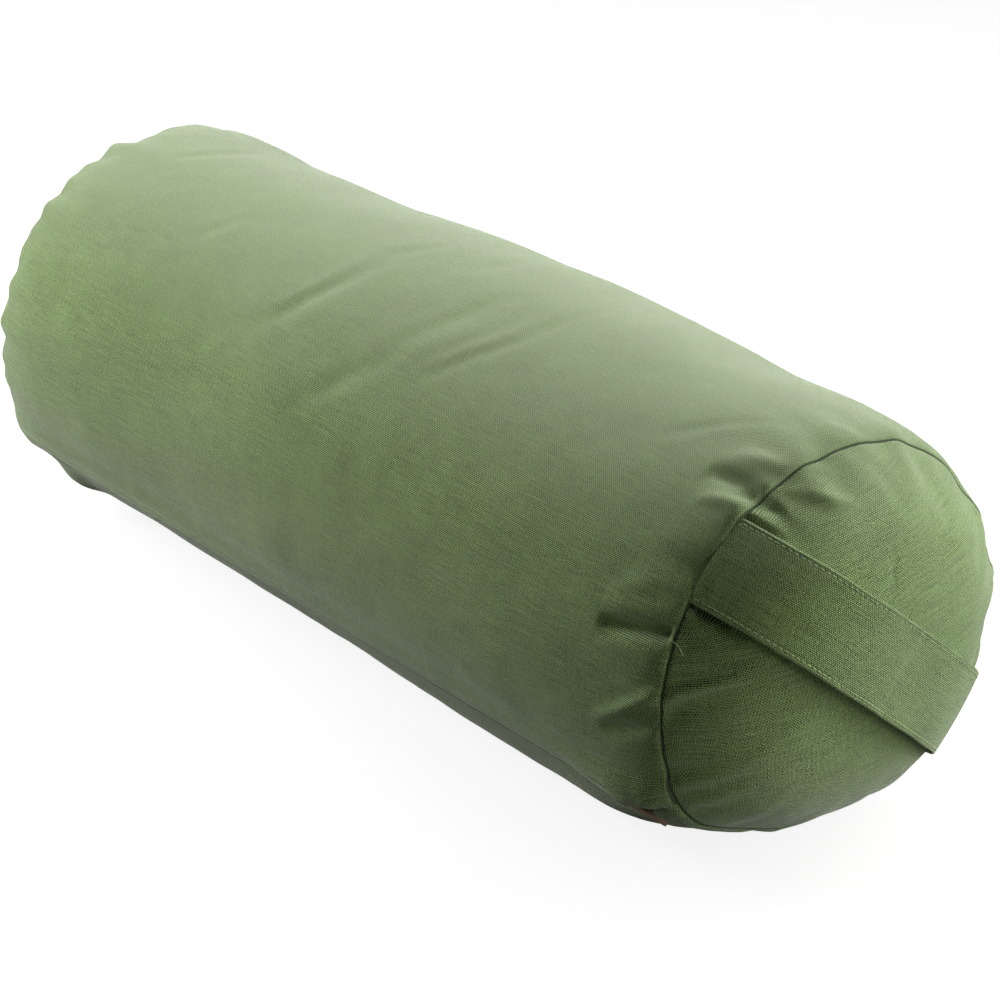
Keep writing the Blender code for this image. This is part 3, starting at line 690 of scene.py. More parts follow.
def grid_mesh(rows, columns):
    """A bmesh grid and its vertices as rows of columns."""
    bm = bmesh.new()
    bm.verts.layers.float.new("seam")
    bmesh.ops.create_grid(bm, x_segments=columns - 1, y_segments=rows - 1, size=0.5)
    order = sorted(bm.verts, key=lambda v: (round(v.co.y, 6), round(v.co.x, 6)))
    grid = [order[r * columns:(r + 1) * columns] for r in range(rows)]
    return bm, grid


def place_grid(grid, points):
    for row, row_points in zip(grid, points):
        for vert, point in zip(row, row_points):
            vert.co = point


def set_weave_map(bm, grid, us, vs):
    """A map of the cloth in metres, from arrays that fit the grid or broadcast to it."""
    layer = bm.loops.layers.uv.new("weave")
    us, vs = np.broadcast_arrays(us, vs)
    where = {}
    for vert_row, u_row, v_row in zip(grid, us, vs):
        where.update(zip(vert_row, zip(u_row, v_row)))
    for face in bm.faces:
        for loop in face.loops:
            loop[layer].uv = where[loop.vert]


def set_seam_distance(bm, grid, distances):
    """Each row's distance from the end seam in metres, by which the canvas material paints shade into the
    seam.
    """
    layer = bm.verts.layers.float["seam"]
    for row, distance in zip(grid, distances):
        for vert in row:
            vert[layer] = distance


def join_round(bm, grid):
    """Joins a grid's last column to its first."""
    verts = [vert for row in grid for vert in (row[0], row[-1])]
    bmesh.ops.remove_doubles(bm, verts=verts, dist=0.00001)


def close_ends(bm):
    bmesh.ops.holes_fill(bm, edges=[edge for edge in bm.edges if edge.is_boundary], sides=0)


def running_total(steps):
    return np.concatenate([[0], np.cumsum(steps)])


def running_length(points):
    """Length along a line of points, or along a grid's rows, averaged over its columns."""
    steps = np.linalg.norm(np.diff(points, axis=0), axis=-1)
    return running_total(steps if steps.ndim == 1 else steps.mean(axis=1))


def finished_mesh(name, bm):
    mesh = bpy.data.meshes.new(name)
    bm.to_mesh(mesh)
    bm.free()
    return mesh


def add_object(name, data):
    thing = bpy.data.objects.new(name, data)
    bpy.context.scene.collection.objects.link(thing)
    return thing


def make_piece(name, bm, material, body):
    """A finished piece at the origin that rides on a body of the model."""
    bm.normal_update()
    mesh = finished_mesh(name, bm)
    mesh.shade_smooth()
    mesh.materials.append(material)
    piece = add_object(name, mesh)
    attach(piece, body)
    return piece


def give_thickness(piece, thickness):
    """Cloth built by its middle surface gets half its thickness to each side."""
    shell = piece.modifiers.new("Cloth thickness", 'SOLIDIFY')
    shell.thickness = thickness
    shell.offset = 0.0


def turn_outward(bm, centre):
    """Makes a sheet's faces look away from a point inside it."""
    bm.normal_update()
    total = sum((face.calc_center_median() - centre).dot(face.normal) for face in bm.faces)
    if total < 0:
        bmesh.ops.reverse_faces(bm, faces=bm.faces)


# Materials

def set_socket(tree, socket, value):
    """Links another socket to this one, or sets its value."""
    if isinstance(value, bpy.types.NodeSocket):
        tree.links.new(value, socket)
    else:
        socket.default_value = value


def add_node(tree, kind, settings=None, **inputs):
    """A node with its inputs linked or set, by name or by number as i0, i1 and so on."""
    node = tree.nodes.new(kind)
    for key, value in (settings or {}).items():
        setattr(node, key, value)
    for key, value in inputs.items():
        numbered = key[0] == "i" and key[1:].isdigit()
        socket = node.inputs[int(key[1:]) if numbered else key.replace("_", " ")]
        set_socket(tree, socket, value)
    return node


class Shade:
    """A material whose shader nodes are added in rows."""

    def __init__(self, name):
        self.material = bpy.data.materials.new(name)
        self.material.use_nodes = True
        self.tree = self.material.node_tree
        self.count = 0

    def node(self, kind, settings=None, **inputs):
        node = add_node(self.tree, kind, settings, **inputs)
        node.location = (-220 * (1 + self.count % 8), -240 * (self.count // 8))
        self.count += 1
        return node

    def math(self, operation, first, second=0.0, clamp=False):
        settings = {"operation": operation, "use_clamp": clamp}
        return self.node("ShaderNodeMath", settings, i0=first, i1=second).outputs[0]

    def mix(self, share, first, second):
        settings = {"data_type": 'RGBA', "blend_type": 'MIX'}
        return self.node("ShaderNodeMix", settings, i0=share, i6=first, i7=second).outputs[2]

    def ramp(self, value, low, high, top=1.0):
        """0 up to the low value, the top at the high one and above."""
        return self.node("ShaderNodeMapRange", {"clamp": True}, Value=value, From_Min=low, From_Max=high,
                         To_Max=top).outputs[0]

    def noise(self, where, scale, detail, **more):
        noise = self.node("ShaderNodeTexNoise", Vector=where, Scale=scale, Detail=detail, **more)
        return noise.outputs["Fac"]

    def flat_noise(self, where, scale, detail, output="Fac"):
        return self.node("ShaderNodeTexNoise", {"noise_dimensions": '2D'}, Vector=where, Scale=scale,
                         Detail=detail).outputs[output]

    def bump(self, strength, distance, height):
        bump = self.node("ShaderNodeBump", Strength=strength, Distance=distance, Height=height)
        return bump.outputs["Normal"]

    def object_place(self):
        return self.node("ShaderNodeTexCoord").outputs["Object"]

    def finish(self, **inputs):
        shader = self.tree.nodes["Principled BSDF"]
        for key, value in inputs.items():
            set_socket(self.tree, shader.inputs[key.replace("_", " ")], value)
        return self.material


def rgba(colour, factor=1.0):
    return (colour[0] * factor, colour[1] * factor, colour[2] * factor, 1.0)


def woven(name, colour, warp_pitch, weft_pitch, relief, sheen, fuzz=1.0, seams=False):
    """Plain-weave cloth on its own map: threads over and under, thick and thin threads, loose fibre and
    painted shade in the gaps between threads. With seams, also a painted sheen on the top and painted shade
    along the end seams.
    """
    shade = Shade(name)
    where = shade.node("ShaderNodeUVMap", {"uv_map": "weave"}).outputs["UV"]
    wander = shade.flat_noise(where, 90.0, 2.0, "Color")
    bent = shade.node("ShaderNodeVectorMath", {"operation": 'MULTIPLY_ADD'}, i0=wander,
                      i1=(0.0004, 0.0004, 0), i2=where).outputs[0]
    parts = shade.node("ShaderNodeSeparateXYZ", Vector=bent)
    waves = []
    for socket, pitch in ((parts.outputs["X"], warp_pitch), (parts.outputs["Y"], weft_pitch)):
        waves.append(shade.math('SINE', shade.math('MULTIPLY', socket, pi / pitch)))
    crossing = shade.math('MULTIPLY', waves[0], waves[1])
    size = shade.math('POWER', shade.math('ABSOLUTE', crossing), 0.6)
    streaks = []
    for stretch in ((45.0, 1200.0, 1.0), (1200.0, 45.0, 1.0)):
        stretched = shade.node("ShaderNodeMapping", Vector=where, Scale=stretch).outputs[0]
        streaks.append(shade.flat_noise(stretched, 1.0, 3.0))
    thread = shade.mix(shade.math('GREATER_THAN', crossing, 0.0), streaks[0], streaks[1])
    fibre = shade.flat_noise(where, 1300.0, 3.0)
    patches = shade.flat_noise(where, 30.0, 5.0)
    flecks = shade.ramp(shade.flat_noise(where, 520.0, 2.0), 0.68, 0.78)
    tone = 0.5
    # The crowns of the threads (size) weigh most in the tone: partly the threads' own tone, mostly painted
    # shade in the gaps between threads, darker than the bump relief shades them. The streaks, fibre, patches
    # and flecks are the yarn's own tone.
    for part, middle, amount in (
        (thread, 0.5, 1.5 * fuzz),
        (fibre, 0.5, 1.8 * fuzz),
        (patches, 0.5, 0.35),
        (size, 0.58, 3.20),
        (crossing, 0.0, 0.80),
        (flecks, 0.0, 0.55 * fuzz),
    ):
        tone = shade.math('ADD', tone, shade.math('MULTIPLY', shade.math('SUBTRACT', part, middle), amount))
    tone = shade.math('MINIMUM', shade.math('MAXIMUM', tone, 0.0), 1.15)
    tint = shade.mix(tone, rgba(colour, 0.02), rgba(colour, 2.25))
    if seams:
        # Painted sheen: by height the canvas is mixed toward a paler, less saturated colour on the top,
        # where the light falls
        up = shade.node("ShaderNodeSeparateXYZ", Vector=shade.object_place()).outputs["Z"]
        painted_top_sheen = rgba((colour[0] * 1.12, colour[1] * 0.98, colour[2] * 1.5))
        tint = shade.mix(shade.ramp(up, PAINTED_SHEEN_FROM, PAINTED_SHEEN_TO, PAINTED_SHEEN_COVER), tint, painted_top_sheen)
        # Painted shade: within a fraction of a millimetre of an end seam the canvas darkens to about a
        # quarter of its colour, as if shaded in the seam's groove
        away = shade.node("ShaderNodeAttribute", {"attribute_name": "seam"}).outputs["Fac"]
        tint = shade.mix(shade.ramp(away, SEAM_PAINTED_SHADE_FROM, SEAM_PAINTED_SHADE_REACH), rgba(colour, 0.26), tint)
    raised = shade.math('ADD', shade.math('MULTIPLY', size, 0.8), shade.math('MULTIPLY', crossing, 0.5))
    raised = shade.math('ADD', raised, shade.math('MULTIPLY', fibre, 0.6 * fuzz))
    return shade.finish(Base_Color=tint, Normal=shade.bump(1.0, relief, raised), Roughness=0.92,
                        Sheen_Weight=sheen, Sheen_Roughness=0.45, Sheen_Tint=(0.95, 1.0, 0.90, 1.0),
                        Specular_IOR_Level=0.04)


def canvas_material(name, cloth):
    """The cover's canvas, by the settings that a user would change."""
    return woven(name, cloth.canvas_colour, cloth.warp_pitch, cloth.weft_pitch, cloth.weave_relief,
                 CANVAS_SHEEN, seams=True)


def thread_material(colour):
    """Topstitching thread: two plies twisted, in object coordinates."""
    shade = Shade("Topstitching thread")
    ply = shade.noise(shade.object_place(), 2300.0, 1.0)
    tone = shade.mix(ply, rgba(colour, 0.55), rgba(colour, 1.35))
    return shade.finish(Base_Color=tone, Normal=shade.bump(0.6, 0.00010, ply), Roughness=0.62,
                        Sheen_Weight=0.3, Specular_IOR_Level=0.35)


def tape_cloth(colour):
    """Zip tape: fine twill ribs in object coordinates."""
    shade = Shade("Dark green zip tape")
    where = shade.object_place()
    ribs = shade.node("ShaderNodeTexWave", {"wave_type": 'BANDS', "bands_direction": 'X'}, Vector=where,
                      Scale=560.0, Distortion=1.5, Detail=1.0, Detail_Scale=2.0).outputs["Fac"]
    relief = shade.math('ADD', ribs, shade.math('MULTIPLY', shade.noise(where, 1800.0, 2.0), 0.4))
    tone = shade.mix(shade.math('MULTIPLY', relief, 0.7), rgba(colour, 0.5), rgba(colour, 1.2))
    return shade.finish(Base_Color=tone, Normal=shade.bump(0.8, 0.00012, relief), Roughness=0.86,
                        Sheen_Weight=0.25)


def old_brass():
    """Antique brass: dark in its recesses, rubbed brighter along its edges, finely scratched."""
    shade = Shade("Antique brass")
    where = shade.object_place()
    rubbed = shade.ramp(shade.node("ShaderNodeNewGeometry").outputs["Pointiness"], 0.50, 0.60)
    stains = shade.noise(where, 420.0, 4.0)
    streak = shade.node("ShaderNodeMapping", Vector=where, Scale=(300.0, 2600.0, 2600.0)).outputs[0]
    scratches = shade.noise(streak, 1.0, 2.0)
    wear = shade.math('ADD', rubbed, shade.math('MULTIPLY', stains, 0.5), clamp=True)
    tone = shade.mix(wear, (0.012, 0.010, 0.008, 1), (0.075, 0.058, 0.042, 1))
    rough = shade.math('ADD', shade.math('MULTIPLY', scratches, 0.3), 0.36)
    return shade.finish(Base_Color=tone, Metallic=1.0, Roughness=rough,
                        Normal=shade.bump(0.35, 0.00005, scratches), Specular_Tint=(0.40, 0.36, 0.32, 1.0))


def fibre_material(colour):
    """Packed kapok: matted short fibres."""
    shade = Shade("Kapok fibre")
    where = shade.object_place()
    mats = shade.noise(where, 90.0, 6.0, Distortion=1.5)
    hair = shade.noise(where, 900.0, 4.0, Distortion=2.0)
    relief = shade.math('ADD', mats, shade.math('MULTIPLY', hair, 0.5))
    tone = shade.mix(shade.math('MULTIPLY', relief, 0.66), rgba(colour, 0.6), rgba(colour, 1.1))
    return shade.finish(Base_Color=tone, Normal=shade.bump(0.9, 0.002, relief), Roughness=0.95,
                        Sheen_Weight=0.6)


# Settings that a user would change

def colour(name, about, default):
    return FloatVectorProperty(name=name, description=about, subtype='COLOR', size=3, min=0, max=1,
                               default=default)


def length(name, about, default, least=0.0):
    return FloatProperty(name=name, description=about, unit='LENGTH', default=default, min=least)


def factor(name, about, default):
    return FloatProperty(name=name, description=about, default=default, min=0)


def number(name, about, default, least):
    return IntProperty(name=name, description=about, default=default, min=least)


def power(name, about, default):
    return FloatProperty(name=name, description=about, unit='POWER', default=default, min=0)


class BolsterCloth(bpy.types.PropertyGroup):
    canvas_colour: colour("Canvas", "Colour of the cover's canvas", (0.252, 0.368, 0.130))
    stitch_colour: colour("Stitches", "Colour of the topstitching thread", (0.500, 0.620, 0.330))
    tape_colour: colour("Zip tape", "Colour of the zip's tapes", (0.060, 0.085, 0.040))
    calico_colour: colour("Calico", "Colour of the inner bag", (0.72, 0.66, 0.54))
    fibre_colour: colour("Fibre", "Colour of the filling", (0.80, 0.73, 0.58))
    warp_pitch: length("Warp pitch", "Distance between warp threads", 0.00070, 0.0002)
    weft_pitch: length("Weft pitch", "Distance between weft threads", 0.00080, 0.0002)
    weave_relief: length("Weave relief", "Height of the threads", 0.00016)


class BolsterCover(bpy.types.PropertyGroup):
    rows: number("Rows", "Rows of faces along the body", 158, 24)
    columns: number("Columns", "Columns of faces round the body", 236, 48)
    rings: number("Rings", "Rings of faces on an end panel", 60, 8)
    panel_columns: number("Panel columns", "Faces in a ring of an end panel", 360, 48)
    crease_depth: factor("Crease depth", "Factor on all creases", 1.0)
    pressure: factor("Pressure", "How hard the filling presses in the simulation", 4.0)
    most_move: length("Most move", "How far the simulation may move the cloth", 0.003, 0.0001)
    ease: factor("Ease", "Extra length of the body's cloth at the end seams", 0.045)


class BolsterHandle(bpy.types.PropertyGroup):
    width: length("Width", "Width of the carry handle", 0.045, 0.01)
    thickness: length("Thickness", "Thickness of the doubled strap", 0.0014, 0.0005)
    bow: length("Bow", "How far it stands off the end panel", 0.0075)
    bow_skew: factor("Bow skew", "Below 1 moves the bow to its upper end", 0.80)
    bow_fall: factor("Bow fall", "Above 1 keeps the strap's ends down longer", 1.5)
    stitch_inset: length("Stitch inset", "Topstitching's distance from the edges", 0.0024)
    stitch_length: length("Stitch length", "Length of one stitch", 0.0029, 0.001)


class BolsterStage(bpy.types.PropertyGroup):
    key_strength: power("Key", "Power of the soft lamp high on the +Y side", 6.2)
    over_strength: power("Over", "Power of the small lamp over the handle's half", 0.42)
    far_top_strength: power("Far top", "Power of the lamp high beyond the far end", 5.4)
    far_strength: power("Far", "Power of the lamp beyond the far end, zip side", 8.0)
    near_strength: power("Near", "Power of the lamp behind the handle's half", 2.65)
    side_strength: power("Side", "Power of the low lamp beyond the handle end", 5.8)
    end_strength: power("End", "Power of the lamp before the handle end", 3.3)
    sky_strength: factor("Sky", "Strength of the world's light", 0.013)


# Cover

def closed_cover():
    """The closed cover with its end seams pinched, and its points as grids: the tube and both panels."""
    phis = np.arange(SIM_COLUMNS) * 2 * pi / SIM_COLUMNS
    bm = bmesh.new()
    grids = {}

    def add_rows(key, rows):
        grids[key] = np.array(rows)
        part, grid = grid_mesh(len(rows), SIM_COLUMNS + 1)
        place_grid(grid, [np.append(row, row[:1], axis=0) for row in rows])
        mesh = finished_mesh("cover simulation part", part)
        bm.from_mesh(mesh)
        bpy.data.meshes.remove(mesh)

    tube = []
    for x in np.linspace(-SEAM_X, SEAM_X, SIM_ROWS + 1):
        at = np.full(SIM_COLUMNS, x)
        side = 1 if x > 0 else -1
        tube.append(skin(at, phis) + pinch_vectors(side, phis, body_pull(side, at)))
    add_rows("tube", tube)
    rim = skin(SEAM_X, phis)
    for side in (1, -1):
        panel = []
        for ring in range(SIM_RINGS + 1):
            share = np.full(SIM_COLUMNS, max(ring, 0.02) / SIM_RINGS)
            flat = PANEL_CENTRE + (rim - PANEL_CENTRE) * share[:, None]
            flat[:, 0] = SEAM_X + DOME_HEIGHT * (1 - share ** DOME_POWER)
            flat = flat + pinch_vectors(side, phis, panel_pull(share)) * (side, 1, 1)
            flat[:, 0] *= side
            panel.append(flat)
        add_rows(side, panel)
    bmesh.ops.remove_doubles(bm, verts=bm.verts, dist=SIM_WELD)
    bmesh.ops.recalc_face_normals(bm, faces=bm.faces)
    return add_object("cover simulation", finished_mesh("cover simulation", bm)), grids


def mesh_points(mesh):
    return np.array([vert.co[:] for vert in mesh.vertices])


def hold_and_cut(cover, ease):
    """Holds the end seams, the zip's sides and where it rests, and returns a rest shape cut larger."""
    start = mesh_points(cover.data)
    x, y, z = start.T
    phi = np.arctan2(y, z - AXIS_Z)
    radius = np.hypot(y, z - AXIS_Z)
    on_panel = np.abs(x) > SEAM_X - 1e-5
    at_seam = (np.abs(np.abs(x) - SEAM_X) < SEAM_HELD) & (radius > SEAM_HELD_RADIUS)
    beside_zip = (np.abs(turned(phi - ZIP_ANGLE)) * ZIP_ARM < ZIP_HELD) & ~on_panel
    held = cover.vertex_groups.new(name="held")
    for index in np.nonzero(at_seam | beside_zip | (z < FLOOR_HELD))[0]:
        held.add([int(index)], 1.0, 'REPLACE')
    growth = np.where(on_panel, 0.35 * ease * (radius / SEAM_RADIUS) ** 4, ease * seam_nearness(x) ** 2)
    grown = start.copy()
    grown[:, 1] = y * (1 + growth)
    grown[:, 2] = AXIS_Z + (z - AXIS_Z) * (1 + growth)
    cover.shape_key_add(name="Basis")
    cut = cover.shape_key_add(name="cut")
    cut.data.foreach_set("co", grown.ravel())
    cover.active_shape_key_index = 0
    return cut


def simulate_cover(settings):
    """Cloth simulation of the closed cover: pinched end seams, eased cloth and pressure inside."""
    cover, grids = closed_cover()
    mesh = cover.data
    cut = hold_and_cut(cover, settings.ease)
    cloth = cover.modifiers.new("Cloth", 'CLOTH')
    for name, value in CLOTH_VALUES.items():
        setattr(cloth.settings, name, value)
    cloth.settings.uniform_pressure_force = settings.pressure
    cloth.settings.vertex_group_mass = "held"
    cloth.settings.rest_shape_key = cut
    cloth.settings.effector_weights.gravity = 0
    cloth.collision_settings.use_collision = False
    cloth.collision_settings.use_self_collision = False
    cloth.point_cache.frame_start = 1
    cloth.point_cache.frame_end = SIM_CACHE_END
    scene = bpy.context.scene
    for frame_number in range(1, SIM_FRAMES + 1):
        scene.frame_set(frame_number)
    start = mesh_points(mesh)
    shift = mesh_points(cover.evaluated_get(bpy.context.evaluated_depsgraph_get()).data) - start
    scene.frame_set(1)
    print("simulation moved the cloth by up to %.1f mm" % (np.linalg.norm(shift, axis=1).max() * 1000))
    found = {tuple(np.round(point, 5)): index for index, point in enumerate(start)}

    def collect(points):
        """The shifts of a grid's points. A point that the welding moved keeps none."""
        field = np.zeros(points.shape)
        for r, row in enumerate(points):
            for c, point in enumerate(row):
                index = found.get(tuple(np.round(point, 5)))
                if index is not None:
                    field[r, c] = shift[index]
        return field

    result = Stuffing()
    result.tube = wrinkles_only(collect(grids["tube"]), settings.most_move)
    for side in (1, -1):
        field = collect(grids[side])
        field[:, :, 0] *= side
        result.panels[side] = wrinkles_only(field, settings.most_move)
    bpy.data.objects.remove(cover)
    bpy.data.meshes.remove(mesh)
    return result


def wrinkles_only(field, most):
    """A grid of shifts without its slow part, which would swell the form, and capped in length."""
    slow = field.copy()
    for _ in range(SLOW_PASSES):
        slow = (np.roll(slow, 1, axis=1) + 2 * slow + np.roll(slow, -1, axis=1)) / 4
        ahead = np.concatenate([slow[1:], slow[-1:]])
        behind = np.concatenate([slow[:1], slow[:-1]])
        slow = (ahead + 2 * slow + behind) / 4
    quick = field - slow
    quick[0] = quick[-1] = 0
    moved = np.linalg.norm(quick, axis=2, keepdims=True)
    return quick * most * np.tanh(moved / most) / np.maximum(moved, 1e-9)


def graded(low, high, count, density):
    """Values from low to high, closer together where the density is higher."""
    fine = np.linspace(low, high, 2001)
    total = running_total(density((fine[1:] + fine[:-1]) / 2))
    return np.interp(np.linspace(0, total[-1], count), total, fine)


def station_density(x):
    """Stations lie closest at the near end, where the creases are."""
    return 1 + np.exp(-((x + SEAM_X) / 0.06) ** 2) + 2.6 * np.exp(-((x - SEAM_X) / 0.06) ** 2)


def angle_density(phi):
    return 1 + 1.3 * np.exp(-(turned(phi + radians(65)) / radians(50)) ** 2)


def lap_profile():
    """The folded lap's middle line from its tuck to the body: (distance below the zip line, rise)."""
    fold = (LAP_OUTER - LAP_INNER) / 2
    middle = (LAP_OUTER + LAP_INNER) / 2
    corner = -LAP_WALL - LAP_CORNER
    line = [(-TUCK_REACH, TUCKED), (-0.0120, TUCKED), (corner, TUCKED)]
    for t in (0.25, 0.5, 0.75):
        line.append((corner + LAP_CORNER * t, TUCKED + (LAP_INNER - TUCKED) * smooth_step(t)))
    line += [(-LAP_WALL, LAP_INNER), (-0.0060, LAP_INNER)]
    for k in range(7):
        angle = -pi / 2 + pi * k / 6
        line.append((-LAP_EDGE - fold + fold * cos(angle), middle + fold * sin(angle)))
    puffed = LAP_STITCH - LAP_FOLD_PUFF_FROM
    for along in (0.0062, 0.0076, 0.0092, 0.0106, 0.0116, LAP_STITCH, 0.0128, LAP_BLEND_FROM):
        puff = 0
        if along < LAP_STITCH:
            puff = LAP_FOLD_PUFF * sin(pi * (along - LAP_FOLD_PUFF_FROM) / puffed)
        dent = LAP_STITCH_DENT * np.exp(-((along - LAP_STITCH) / LAP_STITCH_REACH) ** 2)
        line.append((-along, LAP_OUTER + puff - dent))
    for along in (0.0158, 0.0178, 0.0200, 0.0222, 0.0246):
        share = (along - LAP_BLEND_FROM) / (LAP_BLEND_REACH - LAP_BLEND_FROM)
        line.append((-along, -CANVAS / 2 + (LAP_OUTER + CANVAS / 2) * (1 - smooth_step(share))))
    return line


def hem_profile():
    """The turned-under hem: (share of the way from the body to its edge, rise, distance back from it)."""
    drop = (-CANVAS / 2 - TUCKED) / 2
    line = [(share, -CANVAS / 2, 0.0) for share in (0.15, 0.35, 0.55, 0.72, 0.86, 0.95)]
    for k in range(6):
        angle = pi / 2 - pi * k / 5
        line.append((1.0, -CANVAS / 2 - drop + drop * sin(angle), -drop * cos(angle) + drop))
    line += [(0.7, TUCKED, 0.0), (0.5, TUCKED, 0.0)]
    return line


def hem_edge(x):
    """The hem's edge below the zip line; past the zip's ends it runs up under the lap."""
    past = smooth_step((np.abs(x) - ZIP_HALF - 0.001) / (SEAM_X - ZIP_HALF - 0.004))
    return HEM_EDGE - past * (HEM_EDGE + LAP_EDGE + HEM_RUN_UP)


def lap_settle(x):
    """Factor on the lap's rise: fuller over the slider, flat where the end seams press on it."""
    fuller = LAP_PUFF * fade_in(x, *LAP_FULLER_FROM)
    fuller += SLIDER_PUFF * np.exp(-((x - SLIDER_AT) / SLIDER_PUFF_REACH) ** 2)
    return (1 + fuller) * (1 - LAP_END_PRESS * fade_in(np.abs(x), LAP_FALL_X, SEAM_X - LAP_FALL_X))


def make_cover_wrap(settings, stuffing, canvas):
    """The body's cloth: from under the lap, round the body, to under the hem."""
    end_x = SEAM_X - GAP / 2
    end = [(end_x, SEAM_ROLL + depth) for depth in BODY_ALLOWANCE]
    end += [(end_x - step, float(seam_roll(step))) for step in SEAM_ROLL_STEPS]
    inner_x = end_x - EVEN_ROWS_FROM
    middle = [(x, 0.0) for x in graded(-inner_x, inner_x, settings.rows + 1, station_density)]
    line = [(-x, inset) for x, inset in end] + middle + end[::-1]
    stations, insets = zip(*line)
    lap, hem = lap_profile(), hem_profile()
    first = ZIP_ANGLE + LAP_BLEND_REACH / ZIP_ARM
    last = ZIP_ANGLE + 2 * pi - HEM_BLEND_REACH / ZIP_ARM
    body = graded(first, last, settings.columns + 1, angle_density)
    columns = len(lap) + len(body) + len(hem)
    bm, grid = grid_mesh(len(stations), columns)
    x = np.repeat(np.array(stations), columns)
    phi, rise, inset = [], [], []
    for station, extra in zip(stations, insets):
        settle = float(lap_settle(station))
        edge = float(hem_edge(station))
        for along, up in lap:
            phi.append(ZIP_ANGLE - along / ZIP_ARM)
            rise.append(up * settle if up > 0 else up)
            inset.append(extra)
        phi += list(body)
        rise += [0.0] * len(body)
        inset += [CANVAS / 2 + extra] * len(body)
        for share, up, back in hem:
            along = HEM_BLEND_REACH + (edge - HEM_BLEND_REACH) * share + back
            phi.append(ZIP_ANGLE + 2 * pi - along / ZIP_ARM)
            rise.append(up)
            inset.append(extra)
    phi, rise, inset = (np.array(values) for values in (phi, rise, inset))
    points = body_points(x, phi, inset, rise, stuffing, settings.crease_depth)
    points = points.reshape(len(stations), columns, 3)
    place_grid(grid, points)
    around = running_length(points[len(stations) // 2])
    set_weave_map(bm, grid, running_length(points)[:, None], around[None])
    set_seam_distance(bm, grid, [end_x - abs(station) for station in stations])
    bm.normal_update()
    top = grid[len(stations) // 2][columns // 2]
    if top.normal.z < 0:
        bmesh.ops.reverse_faces(bm, faces=bm.faces)
    piece = make_piece("cover_wrap", bm, canvas, "cushion")
    give_thickness(piece, CANVAS)
    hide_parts("cover_body")


def make_end_panel(name, node, side, settings, stuffing, canvas):
    """A domed end panel: its allowance turned in behind the body's edge, then rings to its crown."""
    phis = graded(0, 2 * pi, settings.panel_columns + 1, angle_density)
    t = np.linspace(0, 1, settings.rings + 1)
    rings = RINGS_FROM + (RINGS_TO - RINGS_FROM) * t * (0.5 + 0.5 * t)
    inward = np.array(SEAM_ROLL_STEPS[:-1] + tuple(rings))
    shares = np.append(1 - inward / RINGS_REACH, CROWN_SHARE)
    bm, grid = grid_mesh(len(PANEL_ALLOWANCE) + len(shares), len(phis))
    pinch = pinch_vectors(side, phis, np.ones(len(phis)))
    points = []
    for depth, ahead in PANEL_ALLOWANCE:
        rim = skin(SEAM_X, phis, CANVAS / 2 + depth) + pinch * (side, 1, 1)
        rim += stuffing.panel(side, np.ones(len(phis)), phis)
        rim[:, 0] = SEAM_X + GAP / 2 + CANVAS / 2 + ahead + pinch[:, 0] * side
        rim[:, 0] *= side
        points.append(rim)
    for share in shares:
        at = np.full(len(phis), share)
        points.append(panel_points(side, at, phis, stuffing, settings.crease_depth))
    points = np.array(points)
    points[:, -1] = points[:, 0]
    place_grid(grid, points)
    tilt = radians(NEAR_WEAVE_TILT if side > 0 else FAR_WEAVE_TILT)
    flat = points[:, :, 1:] - PANEL_CENTRE[1:]
    reach = np.linalg.norm(flat, axis=2)
    arc = reach * (1 + PANEL_ARC_GROWTH * (reach / SEAM_RADIUS) ** 4)
    flat = flat * (arc / np.maximum(reach, 1e-9))[:, :, None]
    us = flat[:, :, 0] * cos(tilt) + flat[:, :, 1] * sin(tilt)
    vs = flat[:, :, 1] * cos(tilt) - flat[:, :, 0] * sin(tilt)
    set_weave_map(bm, grid, us, vs)
    set_seam_distance(bm, grid, np.append(np.zeros(len(PANEL_ALLOWANCE)), (1 - shares) * SEAM_RADIUS))
    join_round(bm, grid)
    crown = [edge for edge in bm.edges if edge.is_boundary and edge.calc_length() < 0.0012]
    bmesh.ops.holes_fill(bm, edges=crown, sides=0)
    bmesh.ops.poke(bm, faces=[face for face in bm.faces if len(face.verts) > 4])
    turn_outward(bm, Vector((side * SEAM_X, 0, float(PANEL_CENTRE[2]))))
    piece = make_piece(name, bm, canvas, "cushion")
    give_thickness(piece, CANVAS)
    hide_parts(node)


class BOLSTER_OT_cover(bpy.types.Operator):
    """Simulate the stuffed canvas and make the body's wrap and both end panels"""
    bl_idname = "bolster.cover"
    bl_label = "Cover"

    def execute(self, context):
        settings = context.scene.bolster_cover
        cloth = context.scene.bolster_cloth
        stuffing = simulate_cover(settings)
        canvas = canvas_material("Green cotton canvas", cloth)
        make_cover_wrap(settings, stuffing, canvas)
        make_end_panel("end_panel_near", "cover_end_near", 1, settings, stuffing, canvas)
        make_end_panel("end_panel_far", "cover_end_far", -1, settings, stuffing, canvas)
        thread = thread_material(cloth.stitch_colour)
        rows = [lap_stitch_row(stuffing, settings.crease_depth)]
        make_stitches("lap_stitches", rows, context.scene.bolster_handle, thread, 8)
        make_loose_end(thread)
        return {'FINISHED'}


